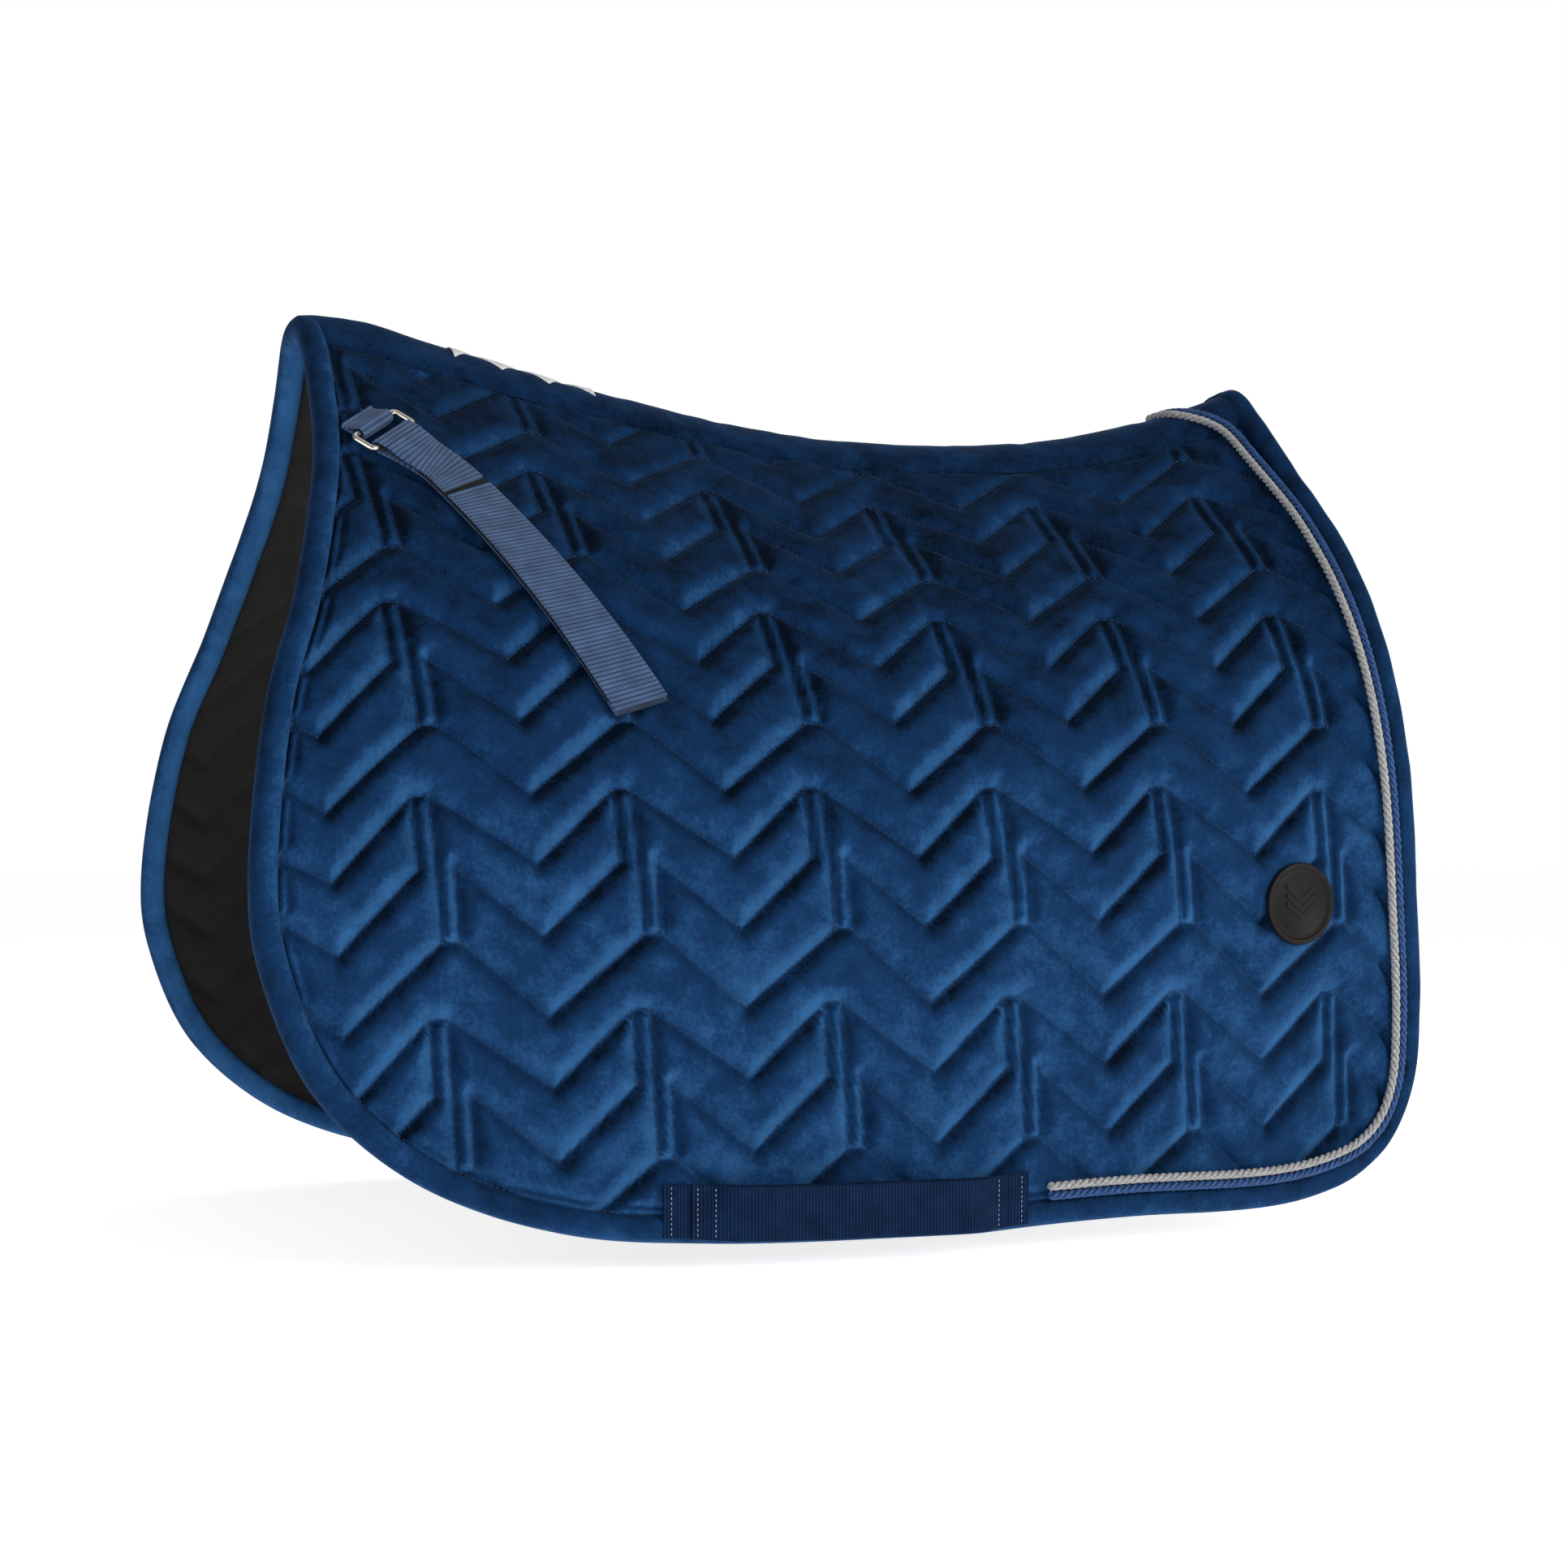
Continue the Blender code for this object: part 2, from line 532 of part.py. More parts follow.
class Strap:
    """The billet strap of one side, laid along its route on the pattern."""

    STEPS = 16
    REACH = 0.004
    ASIDE = 0.002

    def __init__(self, side, side_name):
        self.side, self.name = side, side_name
        self.route = smooth_curve(STRAP_ROUTE, self.STEPS)
        steps = np.linalg.norm(np.diff(self.route, axis=0), axis=1)
        self.length = np.concatenate([[0], np.cumsum(steps)])
        self.length -= self.length[self.STEPS]

    def route_at(self, l):
        """Places on the route and the unit way ahead there."""
        places = []
        for at in (l, l + self.REACH, l - self.REACH):
            inside = np.clip(at, self.length[0], self.length[-1])
            places.append(np.stack([np.interp(inside, self.length, self.route[:, k]) for k in range(2)], -1))
        way = places[1] - places[2]
        way /= np.linalg.norm(way, axis=-1)[..., None]
        past = l - np.clip(l, self.length[0], self.length[-1])
        return places[0] + past[..., None] * way, way

    def spot(self, l, across, h):
        """Points at the distance l along the strap, at a distance across it and a height over the velvet.

        The webbing is straight across, and lies level with the ring as far as RING_HOLDS.
        """
        l, across, h = np.broadcast_arrays(*(np.asarray(value, float) for value in (l, across, h)))
        at, _ = self.route_at(l)
        held, way = self.route_at(l - np.clip(l, -RING_HOLDS, RING_HOLDS))
        aside = held + self.ASIDE * np.stack([way[..., 1], -way[..., 0]], -1)
        level = drape(aside[..., 0], self.side * aside[..., 1], h)
        level -= drape(held[..., 0], self.side * held[..., 1], h)
        level /= np.linalg.norm(level, axis=-1)[..., None]
        return drape(at[..., 0], self.side * at[..., 1], h) + across[..., None] * level

    def layer(self, name, middle, width, thickness, finish, pivot):
        """A strip of webbing whose middle line is the list of (l, h)."""
        line = np.array(middle, float)
        along = np.gradient(line, axis=0)
        along /= np.linalg.norm(along, axis=1)[:, None]
        normal = np.stack([-along[:, 1], along[:, 0]], 1)
        across = np.array([-0.5, 0, 0.5])[None, :] * width
        faces = []
        for half in (thickness / 2, -thickness / 2):
            edge = line + half * normal
            faces.append(self.spot(edge[:, :1], across, edge[:, 1:]))
        return slab(f"{self.name}_{name}", faces[0], faces[1], finish, pivot)

    def turn(self, l, start, end, steps=6):
        """Points (l, h) of webbing that wraps the ring's bar at l, from one angle to another in degrees."""
        angles = np.radians(np.linspace(start, end, steps))
        radius = BAR_RADIUS + BAR_CLEAR + WEBBING / 2
        return [(l + radius * math.cos(t), RING_HEIGHT + radius * math.sin(t)) for t in angles]

    def build(self):
        """Anchor loop, ring, strap, hook tape, short tail and long top layer."""
        bar = BAR_SPACING / 2
        seat = STRAP_SEAT + WEBBING / 2
        lip = RING_HEIGHT + BAR_RADIUS + BAR_CLEAR + WEBBING / 2 - BAR_LIP
        hook = STRAP_SEAT + WEBBING + GAP + HOOK_THICK / 2
        top = STRAP_SEAT + WEBBING + HOOK_THICK + 2 * GAP + WEBBING / 2
        anchor_top = seat + WEBBING + GAP
        sewn_end = ANCHOR_FROM + SEWN_FLAT
        anchor_bar, strap_bar = self.spot(-bar, 0, RING_HEIGHT), self.spot(bar, 0, RING_HEIGHT)
        fold = self.spot(TOP_TO, 0, top)
        tail_root = self.spot(TAIL_FROM, 0, lip + WEBBING / 2)
        loop = [(ANCHOR_FROM, anchor_top), (sewn_end, anchor_top)]
        loop += self.turn(-bar, 100, -90)
        loop += [(sewn_end, seat), (ANCHOR_FROM, seat)]
        self.layer("strap_anchor", loop, ANCHOR_WIDTH, WEBBING, strap_webbing(), (0, 0, 0))
        self.ring(anchor_bar, strap_bar)
        base = [(BASE_TO + back, seat + rise) for back, rise in FOLDED_END[:-1]]
        base += [(l, seat) for l in np.linspace(BASE_TO + FOLDED_END[-1][0], LEAVES_BAR, 15)]
        base += self.turn(bar, 270, 80) + [(TAIL_FROM - GAP, lip)]
        self.layer("strap_base", base, STRAP_WIDTH, WEBBING, strap_webbing(), strap_bar)
        hooks = [(l, hook) for l in np.linspace(HOOK_FROM, HOOK_TO, 14)]
        self.layer("strap_hook_tape", hooks, HOOK_WIDTH, HOOK_THICK, hook_tape(), strap_bar)
        tail = [(TAIL_FROM, lip)] + [(l, top + rise) for l, rise in TAIL_LANDS] + [(TAIL_TO, top)]
        self.layer("strap_tail", tail, STRAP_WIDTH, WEBBING, strap_webbing(), tail_root)
        long = [(l, top) for l in np.linspace(TOP_FROM, TOP_TO, 12)]
        self.layer("strap_top", long, STRAP_WIDTH, WEBBING, strap_webbing(), fold)

    def ring(self, anchor_bar, strap_bar):
        """A rectangular wire ring with round corners, flat on the pad, whose bars are at those two points."""
        middle, along = (anchor_bar + strap_bar) / 2, strap_bar - anchor_bar
        half_l, half_a = np.linalg.norm(along) / 2, RING_INSIDE / 2 + BAR_RADIUS
        along /= np.linalg.norm(along)
        across = self.spot(0, half_a, RING_HEIGHT) - self.spot(0, -half_a, RING_HEIGHT)
        across /= np.linalg.norm(across)
        points = []
        for first, (l, a) in enumerate([(1, 1), (-1, 1), (-1, -1), (1, -1)]):
            l, a = l * half_l, a * half_a
            centre_l, centre_a = l - math.copysign(RING_CORNER, l), a - math.copysign(RING_CORNER, a)
            for t in np.radians(np.linspace(90 * first, 90 * first + 90, 4)):
                spot_l, spot_a = centre_l + RING_CORNER * math.cos(t), centre_a + RING_CORNER * math.sin(t)
                points.append(middle + spot_l * along + spot_a * across)
        return tube(f"{self.name}_strap_ring", points, BAR_RADIUS, nickel(), anchor_bar, cyclic=True)


def spine(grid):
    """The velvet band over the spine, the tape under it and the embroidered lozenges."""
    near = grid[1:]
    middle = grid[:1].copy()
    middle[..., 1] = 0
    off = near[::-1].copy()
    off[..., 1] *= -1
    across = np.vstack([off, middle, near])
    x, s = across[..., 0], across[..., 1]
    slab("spine_band", drape(x, s, 0), drape(x, s, -VELVET), velvet())
    inset = BINDING_WIDTH + TAPE_END
    x = np.linspace(OUTLINE[0][0] + inset, OUTLINE[-1][0] - inset, COLUMNS + 1)[None, :]
    bend, edge = SPINE_ROWS[1:3]
    s = np.array([-edge, -bend, 0, bend, edge])[:, None]
    slab("spine_tape", drape(x, s, -STACK - TAPE_GAP), drape(x, s, -STACK - TAPE_GAP - SPINE_TAPE), lining())
    part = np.linspace(0, 1, MOTIF_STEPS + 1)
    wave = np.abs((part * MOTIF_LOZENGES * 2 + 1) % 2 - 1)
    half = MOTIF_WAIST + (MOTIF_HALF - MOTIF_WAIST) * (1 - wave)
    x = (MOTIF_FROM + (MOTIF_TO - MOTIF_FROM) * part)[None, :]
    s = np.array([-1, 0, 1])[:, None] * half[None, :]
    slab("spine_motif", drape(x, s, GAP + MOTIF_THICK), drape(x, s, GAP), embroidery())


def lift_pivot(side):
    """A point on the line along which the lower flap lifts, just outside its outermost face."""
    x = np.linspace(OUTLINE[5][0], OUTLINE[17][0], 60)
    face = drape(x, level_line(x, LIFT_Z), 0)
    return (0.0, side * (face[:, 1].min() - LIFT_CLEAR), LIFT_Z)


def build_side(side, side_name, grids):
    """All pieces of one side of the pad. side is 1 near and -1 off."""
    beside, upper, lower = grids
    pivot = lift_pivot(side)
    back = np.vstack([beside[:-1], upper])
    face = upper.copy()
    face[0, :, 1] += GAP
    for part, grid, cover, origin in (("upper", back, face, (0, 0, 0)), ("lower", lower, lower, pivot)):
        sheet(f"{side_name}_velvet_{part}", cover, -VELVET, 0, velvet(), side, origin)
        low = -VELVET - GAP - WADDING
        sheet(f"{side_name}_wadding_{part}", grid, low, -VELVET - GAP, wadding(), side, origin)
        sheet(f"{side_name}_lining_{part}", grid, -STACK, -STACK + LINING, lining(), side, origin)
    front, rear = back[:, 0], back[::-1, -1]
    lower_edge = np.vstack([lower[:-1, 0], lower[-1], lower[-2::-1, -1]])
    binding(f"{side_name}_binding_front", front, side, -GAP / 2)
    binding(f"{side_name}_binding_lower", lower_edge, side, GAP / 2, pivot)
    binding(f"{side_name}_binding_rear", rear, side, -GAP / 2)
    cords(side, side_name, pivot)
    girth_keeper(side, side_name, pivot)
    badge(side, side_name, pivot)
    Strap(side, side_name).build()


def main():
    for obj in list(bpy.data.objects):
        bpy.data.objects.remove(obj)
    grids = panel_grids()
    spine(grids[0])
    build_side(1, "near", grids)
    build_side(-1, "off", grids)


main()
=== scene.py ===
"""Looks of a quilted velvet saddle pad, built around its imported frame.

Metres, +Z up. +X runs to the tail, the near side is at -Y. Every sheet is laid out flat first, as (x, s):
x along the horse and s down the pad from the spine. Drape bends the flat pattern over the horse's back,
as the frame does, and a height is measured outwards from the face of the velvet.
"""

import json
import logging
import math
from dataclasses import dataclass, field
from enum import Enum

import bmesh
import bpy
import numpy as np
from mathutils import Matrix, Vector

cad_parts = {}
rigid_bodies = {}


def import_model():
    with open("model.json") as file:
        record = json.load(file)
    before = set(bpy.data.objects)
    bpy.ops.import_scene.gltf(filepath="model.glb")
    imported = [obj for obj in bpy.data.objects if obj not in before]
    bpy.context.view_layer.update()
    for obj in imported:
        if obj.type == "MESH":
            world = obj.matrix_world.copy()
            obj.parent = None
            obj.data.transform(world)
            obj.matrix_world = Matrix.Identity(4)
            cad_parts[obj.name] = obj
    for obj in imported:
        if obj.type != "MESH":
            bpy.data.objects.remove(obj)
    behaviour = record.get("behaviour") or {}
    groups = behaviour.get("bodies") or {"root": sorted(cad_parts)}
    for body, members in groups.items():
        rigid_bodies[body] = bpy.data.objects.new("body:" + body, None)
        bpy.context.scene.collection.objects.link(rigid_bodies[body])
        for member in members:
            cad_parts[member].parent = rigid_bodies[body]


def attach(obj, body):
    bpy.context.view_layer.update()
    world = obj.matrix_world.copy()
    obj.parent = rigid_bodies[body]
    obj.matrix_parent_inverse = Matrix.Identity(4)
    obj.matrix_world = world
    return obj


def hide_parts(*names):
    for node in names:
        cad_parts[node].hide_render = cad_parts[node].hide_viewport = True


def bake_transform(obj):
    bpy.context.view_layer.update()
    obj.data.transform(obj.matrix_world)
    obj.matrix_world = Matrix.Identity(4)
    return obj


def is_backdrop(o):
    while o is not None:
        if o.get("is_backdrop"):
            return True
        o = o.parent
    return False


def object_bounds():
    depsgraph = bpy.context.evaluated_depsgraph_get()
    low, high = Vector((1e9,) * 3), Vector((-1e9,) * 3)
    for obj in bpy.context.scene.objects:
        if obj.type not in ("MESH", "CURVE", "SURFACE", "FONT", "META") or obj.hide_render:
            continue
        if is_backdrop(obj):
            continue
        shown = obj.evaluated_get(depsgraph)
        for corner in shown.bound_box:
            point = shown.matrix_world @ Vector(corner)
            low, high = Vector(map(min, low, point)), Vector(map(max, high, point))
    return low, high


log = logging.getLogger("saddle_pad")
Array = np.ndarray

GAP = 0.0003  # between pieces that lie on each other
ON_SPINE = 0.0001  # how near to the spine a side's own sheets come
SELVEDGE = 0.0012  # the plain edge of a ribbed webbing
PANEL_STEP = 0.0022  # cells of the velvet's grid
LINING_STEP = 0.0036
WADDING_STEP = 0.0052
WADDING_SPREAD = 0.0045  # how much wider the wadding's seams are, so that it stays under the velvet


class Side(Enum):
    """The two sides of the pad. The value is the sign of s on the flat pattern."""

    NEAR = 1
    OFF = -1

    @property
    def label(self) -> str:
        """The word that the frame's names start with."""
        return self.name.lower()


# ---------------------------------------------------------------- the pattern and how it hangs


@dataclass(frozen=True)
class Drape:
    """How the flat pattern bends over the back: the top line, and the slope of the sides in degrees."""

    reach: float = 0.276
    front_rise: tuple[float, float] = (0.051, 1.4)
    rear_rise: tuple[float, float] = (0.043, 2.7)
    pad: float = 0.0156
    profile_mid: float = -0.063
    top_slope: tuple[float, float, float] = (52.6, 3.2, -4.8)
    hem_slope: tuple[float, float] = (-1.2, -2.7)
    turn_start: tuple[float, float] = (0.136, -0.013)
    turn_end: tuple[float, float] = (0.509, -0.038)
    rounding: float = 0.0224
    withers: tuple[float, float, float] = (-0.295, 2.9, 0.9)
    chunk: int = 16000

    def withers_dip(self, x: Array) -> Array:
        """How far the top line dips below its rise at each x over the withers."""
        return self.withers[1] * np.maximum(self.withers[0] - x, 0) ** 2

    def crest(self, x: Array) -> Array:
        """Height of the spine's top line at each x."""
        rise = np.where(x < 0, self.front_rise[0], self.rear_rise[0])
        power = np.where(x < 0, self.front_rise[1], self.rear_rise[1])
        return self.pad + rise * (np.abs(x) / self.reach) ** power - self.withers_dip(x)

    def slope(self, x: Array, s: Array) -> Array:
        """Slope of the side, in radians from upright, at the distance s below the spine."""
        run = (x - self.profile_mid) / self.reach
        top = self.top_slope[0] + self.top_slope[1] * run + self.top_slope[2] * run**2
        hem = self.hem_slope[0] + self.hem_slope[1] * run
        start = self.turn_start[0] + self.turn_start[1] * run
        end = self.turn_end[0] + self.turn_end[1] * run
        turned = np.clip((s - start) / (end - start), 0, 1)
        side = hem + (top - hem) * (1 + np.cos(np.pi * turned)) / 2
        rounding = self.rounding + self.withers[2] * self.withers_dip(x)
        return np.radians(side + (90 - side) * np.exp(-((s / rounding) ** 2)))

    def lay(self, x: Array, s: Array) -> tuple[Array, Array]:
        """Bends places of the pattern over the back.

        Args:
            x: Distances along the horse.
            s: Signed distances below the spine.

        Returns:
            The points on the velvet's face, and the way out of it there, each with a last axis of three.
        """
        x, s = np.broadcast_arrays(np.asarray(x, float), np.asarray(s, float))
        shape = x.shape
        x, s = x.ravel(), s.ravel()
        face, out = np.empty((len(x), 3)), np.zeros((len(x), 3))
        part = np.linspace(0, 1, 121)
        for first in range(0, len(x), self.chunk):
            here = slice(first, first + self.chunk)
            down = np.abs(s[here])[:, None] * part
            angle = self.slope(x[here, None], down)
            near = np.where(s[here] < 0, 1.0, -1.0)
            face[here, 0] = x[here]
            face[here, 1] = near * np.trapz(np.sin(angle), down, axis=1)
            face[here, 2] = self.crest(x[here]) - np.trapz(np.cos(angle), down, axis=1)
            out[here, 1] = near * np.cos(angle[:, -1])
            out[here, 2] = np.sin(angle[:, -1])
        return face.reshape(*shape, 3), out.reshape(*shape, 3)

    def place(self, x: Array, s: Array, height: Array) -> Array:
        """Points at a height over the velvet's face."""
        x, s, height = np.broadcast_arrays(*(np.asarray(v, float) for v in (x, s, height)))
        face, out = self.lay(x, s)
        return face + height[..., None] * out


@dataclass
class Outline:
    """One side's outline on the flat pattern, from the withers round the flap to the back of the spine."""

    points: tuple[tuple[float, float], ...] = (
        (-0.363, 0.000), (-0.361, 0.080), (-0.366, 0.160), (-0.387, 0.267), (-0.410, 0.346), (-0.422, 0.440),
        (-0.415, 0.500), (-0.385, 0.567), (-0.328, 0.615), (-0.253, 0.632), (-0.163, 0.627), (-0.023, 0.609),
        (0.102, 0.601), (0.227, 0.609), (0.282, 0.601), (0.310, 0.568), (0.314, 0.510), (0.305, 0.410),
        (0.297, 0.280), (0.290, 0.120), (0.289, 0.000),
    )
    front_corner: int = 8
    rear_corner: int = 14
    steps: int = 16
    panel_inset: float = 0.0048

    def curve(self, steps: int | None = None) -> Array:
        """The outline as a smooth curve, with that many steps to each span."""
        return smooth_curve(self.points, steps or self.steps)

    def inset(self, distance: float) -> Array:
        """The outline moved inwards over the pattern."""
        return inset_of(self.curve(), distance)

    def distance(self, places: Array) -> Array:
        """Distance of each place from the outline, the spine's stretch left out."""
        line = self.curve(8)
        best = np.full(len(places), np.inf)
        for a, b in zip(line, line[1:]):
            best = np.minimum(best, distance_to_segment(places, a, b))
        return best

    def grid(self, top: float, step: float) -> Array:
        """A fine grid of places over the panel below a line at the distance top from the spine.

        Args:
            top: Distance of the grid's first row below the spine.
            step: Size of the grid's cells.

        Returns:
            Places as an array of (row, column, 2).
        """
        inner = self.inset(self.panel_inset)
        front = inner[: self.front_corner * self.steps + 1]
        bottom = inner[self.front_corner * self.steps : self.rear_corner * self.steps + 1]
        rear = inner[self.rear_corner * self.steps :][::-1]
        front, rear = below(front, top), below(rear, top)
        columns = round((rear[0, 0] - front[0, 0]) / step)
        rows = round((bottom[:, 1].mean() - top) / step)
        along, down = np.linspace(0, 1, columns + 1), np.linspace(0, 1, rows + 1)
        along = along + 0.45 * ((1 - np.cos(np.pi * along)) / 2 - along)
        edges = [resample(line, share) for line, share in
                 ((np.array([front[0], rear[0]]), along), (bottom, along), (front, down), (rear, down))]
        upper, lower = edges[0][None], edges[1][None]
        left, right = edges[2][:, None], edges[3][:, None]
        a, b = along[None, :, None], down[:, None, None]
        ends = [(1 - a) * edge[:, :1] + a * edge[:, -1:] for edge in (upper, lower)]
        return (1 - b) * upper + b * lower + (1 - a) * left + a * right - (1 - b) * ends[0] - b * ends[1]


def smooth_curve(points: tuple[tuple[float, float], ...] | Array, steps: int) -> Array:
    """A Catmull-Rom curve through the points, with that many steps to each span."""
    p = np.array(points, float)
    p = np.vstack([2 * p[0] - p[1], p, 2 * p[-1] - p[-2]])
    t = np.linspace(0, 1, steps, endpoint=False)[:, None]
    spans = []
    for a, b, c, d in zip(p, p[1:], p[2:], p[3:]):
        bend, twist = a - 2.5 * b + 2 * c - d / 2, 1.5 * (b - c) + (d - a) / 2
        spans.append(b + t * (c - a) / 2 + t**2 * bend + t**3 * twist)
    return np.vstack(spans + [p[-2:-1]])


def unit(vectors: Array) -> Array:
    """The vectors along the last axis, each made one long."""
    return vectors / np.linalg.norm(vectors, axis=-1, keepdims=True)


def travelled(curve: Array) -> Array:
    """Distance of each point along the curve from its start."""
    return np.concatenate([[0], np.cumsum(np.linalg.norm(np.diff(curve, axis=0), axis=1))])


def eased(away: Array, reach: float, power: float = 2.0) -> Array:
    """From 0 at a seam to 1 at the distance reach from it: steep at the seam and level at the end."""
    return 1 - (1 - np.clip(away / reach, 0, 1)) ** power


def inset_of(curve: Array, distance: float) -> Array:
    """The curve moved inwards over the pattern by that distance."""
    along = unit(np.gradient(curve, axis=0))
    return curve + distance * np.stack([along[:, 1], -along[:, 0]], 1)


def resample(curve: Array, parts: Array) -> Array:
    """Points on the curve at the given shares of its length."""
    length = travelled(curve)
    return np.stack([np.interp(parts * length[-1], length, curve[:, k]) for k in range(curve.shape[1])], 1)


def evenly(curve: Array, step: float) -> Array:
    """The curve with its points that far apart."""
    return resample(curve, np.linspace(0, 1, max(2, round(travelled(curve)[-1] / step)) + 1))


def below(curve: Array, top: float) -> Array:
    """The part of a side edge that is further than top from the spine, with its start on that line."""
    first = int(np.argmax(curve[:, 1] > top))
    a, b = curve[first - 1], curve[first]
    return np.vstack([a + (top - a[1]) / (b[1] - a[1]) * (b - a), curve[first:]])


def distance_to_segment(places: Array, a: Array, b: Array) -> Array:
    """Distance of each place from the segment between a and b."""
    way = b - a
    share = np.clip(((places - a) @ way) / (way @ way), 0, 1)
    return np.linalg.norm(places - a - share[:, None] * way, axis=1)


@dataclass(frozen=True)
class Grain:
    """Smooth seeded noise over the flat pattern, from about -1 to 1."""

    size: float
    seed: int
    stretch: float = 1.0
    lean: float = 0.0

    def at(self, places: Array) -> Array:
        """The noise at each place, whose last axis is (x, s)."""
        x, s = places[..., 0], places[..., 1]
        cos, sin = math.cos(math.radians(self.lean)), math.sin(math.radians(self.lean))
        along, across = (x * cos + s * sin) / (self.size * self.stretch), (s * cos - x * sin) / self.size
        table = np.random.default_rng(self.seed).uniform(-1, 1, (256, 256))
        i, j = np.floor(along).astype(int), np.floor(across).astype(int)
        f, g = along - i, across - j
        f, g = f * f * (3 - 2 * f), g * g * (3 - 2 * g)
        corner = [table[(i + di) % 256, (j + dj) % 256] for di in (0, 1) for dj in (0, 1)]
        return (1 - f) * ((1 - g) * corner[0] + g * corner[1]) + f * ((1 - g) * corner[2] + g * corner[3])


@dataclass
class Quilting:
    """The quilted pattern: columns of nested chevrons, parted by short upright channels.

    The pattern lives on (u, v): u along a row and v down a column. A cell is one column of one row.
    """

    column: float = 0.1123
    row: float = 0.1243
    channel: float = 0.0098
    first: tuple[float, float] = (-0.3233, 0.3549)
    lean: float = 0.062
    row_bow: tuple[float, float, float] = (-0.0373, 0.0239, 0.0135)
    tip_depths: tuple[float, float, float] = (0.0410, 0.0400, 0.0430)
    rounding: float = 9.0
    mid: float = -0.063
    reach: float = 0.276

    def bow(self, x: Array) -> Array:
        """How far a row runs below its level at each x, because the back dips."""
        run = (x - self.mid) / self.reach
        return self.row_bow[0] * run + self.row_bow[1] * run**2 + self.row_bow[2] * run**3

    def to_cells(self, places: Array) -> Array:
        """Turns (x, s) into (u, v)."""
        v = places[..., 1] - self.first[1] - self.bow(places[..., 0])
        return np.stack([places[..., 0] - self.first[0] - self.lean * v, v], -1)

    def from_cells(self, cells: Array) -> Array:
        """Turns (u, v) into (x, s)."""
        x = cells[..., 0] + self.first[0] + self.lean * cells[..., 1]
        return np.stack([x, cells[..., 1] + self.first[1] + self.bow(x)], -1)

    def cell_seams(self) -> Array:
        """The seams that belong to one cell, as (seam, end, 2)."""
        p, r, d = self.column, self.row, self.channel
        seams = [((-d, 0), (0, 0)), ((-d, 0), (-d, r / 3)), ((0, 0), (0, 2 * r / 3))]
        seams += [((d, r / 3), (d, 2 * r / 3)), ((0, 2 * r / 3), (d, 2 * r / 3))]
        ends = [((0, 0), (p - d, 0)), ((d, r / 3), (p - d, r / 3)), ((d, 2 * r / 3), (p, 2 * r / 3))]
        for (start, end), depth in zip(ends, self.tip_depths):
            tip = (p / 2, start[1] + depth)
            seams += [(start, tip), (tip, end)]
        return np.array(seams, float)

    def seams(self, rows: range, columns: range) -> Array:
        """The seams of a block of cells on (u, v), as (seam, end, 2)."""
        cell, size = self.cell_seams(), np.array([self.column, self.row])
        return np.concatenate([cell + size * (n, k) for k in rows for n in columns])

    def distance(self, places: Array) -> Array:
        """Distance of each place (x, s) to the seams on (u, v), rounded off halfway between them."""
        cells, size = self.to_cells(places), np.array([self.column, self.row])
        local = cells - np.floor(cells / size) * size
        total = np.zeros(len(local))
        for a, b in self.seams(range(-1, 2), range(-1, 2)):
            total += np.maximum(distance_to_segment(local, a, b), 1e-5) ** -self.rounding
        return total ** (-1 / self.rounding)


# ---------------------------------------------------------------- meshes


def mesh_piece(name: str, points: Array, faces: Array, finish: bpy.types.Material, uv: Array | None = None,
               smooth: bool = True, **attributes: Array) -> bpy.types.Object:
    """Makes a mesh object at the origin.

    Args:
        name: The piece's name.
        points: Points, as (point, 3).
        faces: Corners of each face, all faces with as many corners.
        finish: Its material.
        uv: A flat place for each point, in metres, which the weave and the pile follow.
        smooth: Whether the faces are shaded smooth.
        attributes: A number for each point, by name.

    Returns:
        The object.
    """
    mesh = bpy.data.meshes.new(name)
    count, corners = faces.shape
    mesh.vertices.add(len(points))
    mesh.vertices.foreach_set("co", np.asarray(points, np.float32).ravel())
    mesh.loops.add(count * corners)
    mesh.loops.foreach_set("vertex_index", faces.astype(np.int32).ravel())
    mesh.polygons.add(count)
    mesh.polygons.foreach_set("loop_start", np.arange(0, count * corners, corners, dtype=np.int32))
    mesh.polygons.foreach_set("use_smooth", np.full(count, smooth))
    if uv is not None:
        layer = mesh.uv_layers.new(name="flat")
        layer.data.foreach_set("uv", np.asarray(uv, np.float32)[faces.ravel()].ravel())
    for key, values in attributes.items():
        mesh.attributes.new(key, "FLOAT", "POINT").data.foreach_set("value", np.asarray(values, np.float32))
    mesh.update(calc_edges=True)
    mesh.validate()
    mesh.materials.append(finish)
    obj = bpy.data.objects.new(name, mesh)
    bpy.context.scene.collection.objects.link(obj)
    return obj


def grid_faces(rows: int, columns: int, first: int = 0) -> Array:
    """Four-cornered faces over a grid of points whose numbers start at first."""
    index = first + np.arange(rows * columns).reshape(rows, columns)
    return np.stack([index[:-1, :-1], index[:-1, 1:], index[1:, 1:], index[1:, :-1]], -1).reshape(-1, 4)


def tube_faces(stations: int, around: int) -> Array:
    """Four-cornered faces between closed sections that follow each other."""
    index = np.arange(stations * around).reshape(stations, around)
    here, ahead = index[:-1], index[1:]
    return np.stack([here, np.roll(here, -1, 1), np.roll(ahead, -1, 1), ahead], -1).reshape(-1, 4)


def end_faces(end: Array) -> Array:
    """Four-cornered faces across one section, from its points' numbers."""
    half = len(end) // 2
    return np.stack([end[: half - 1], end[1:half], end[-2 : -half - 1 : -1], end[-1:-half:-1]], 1)


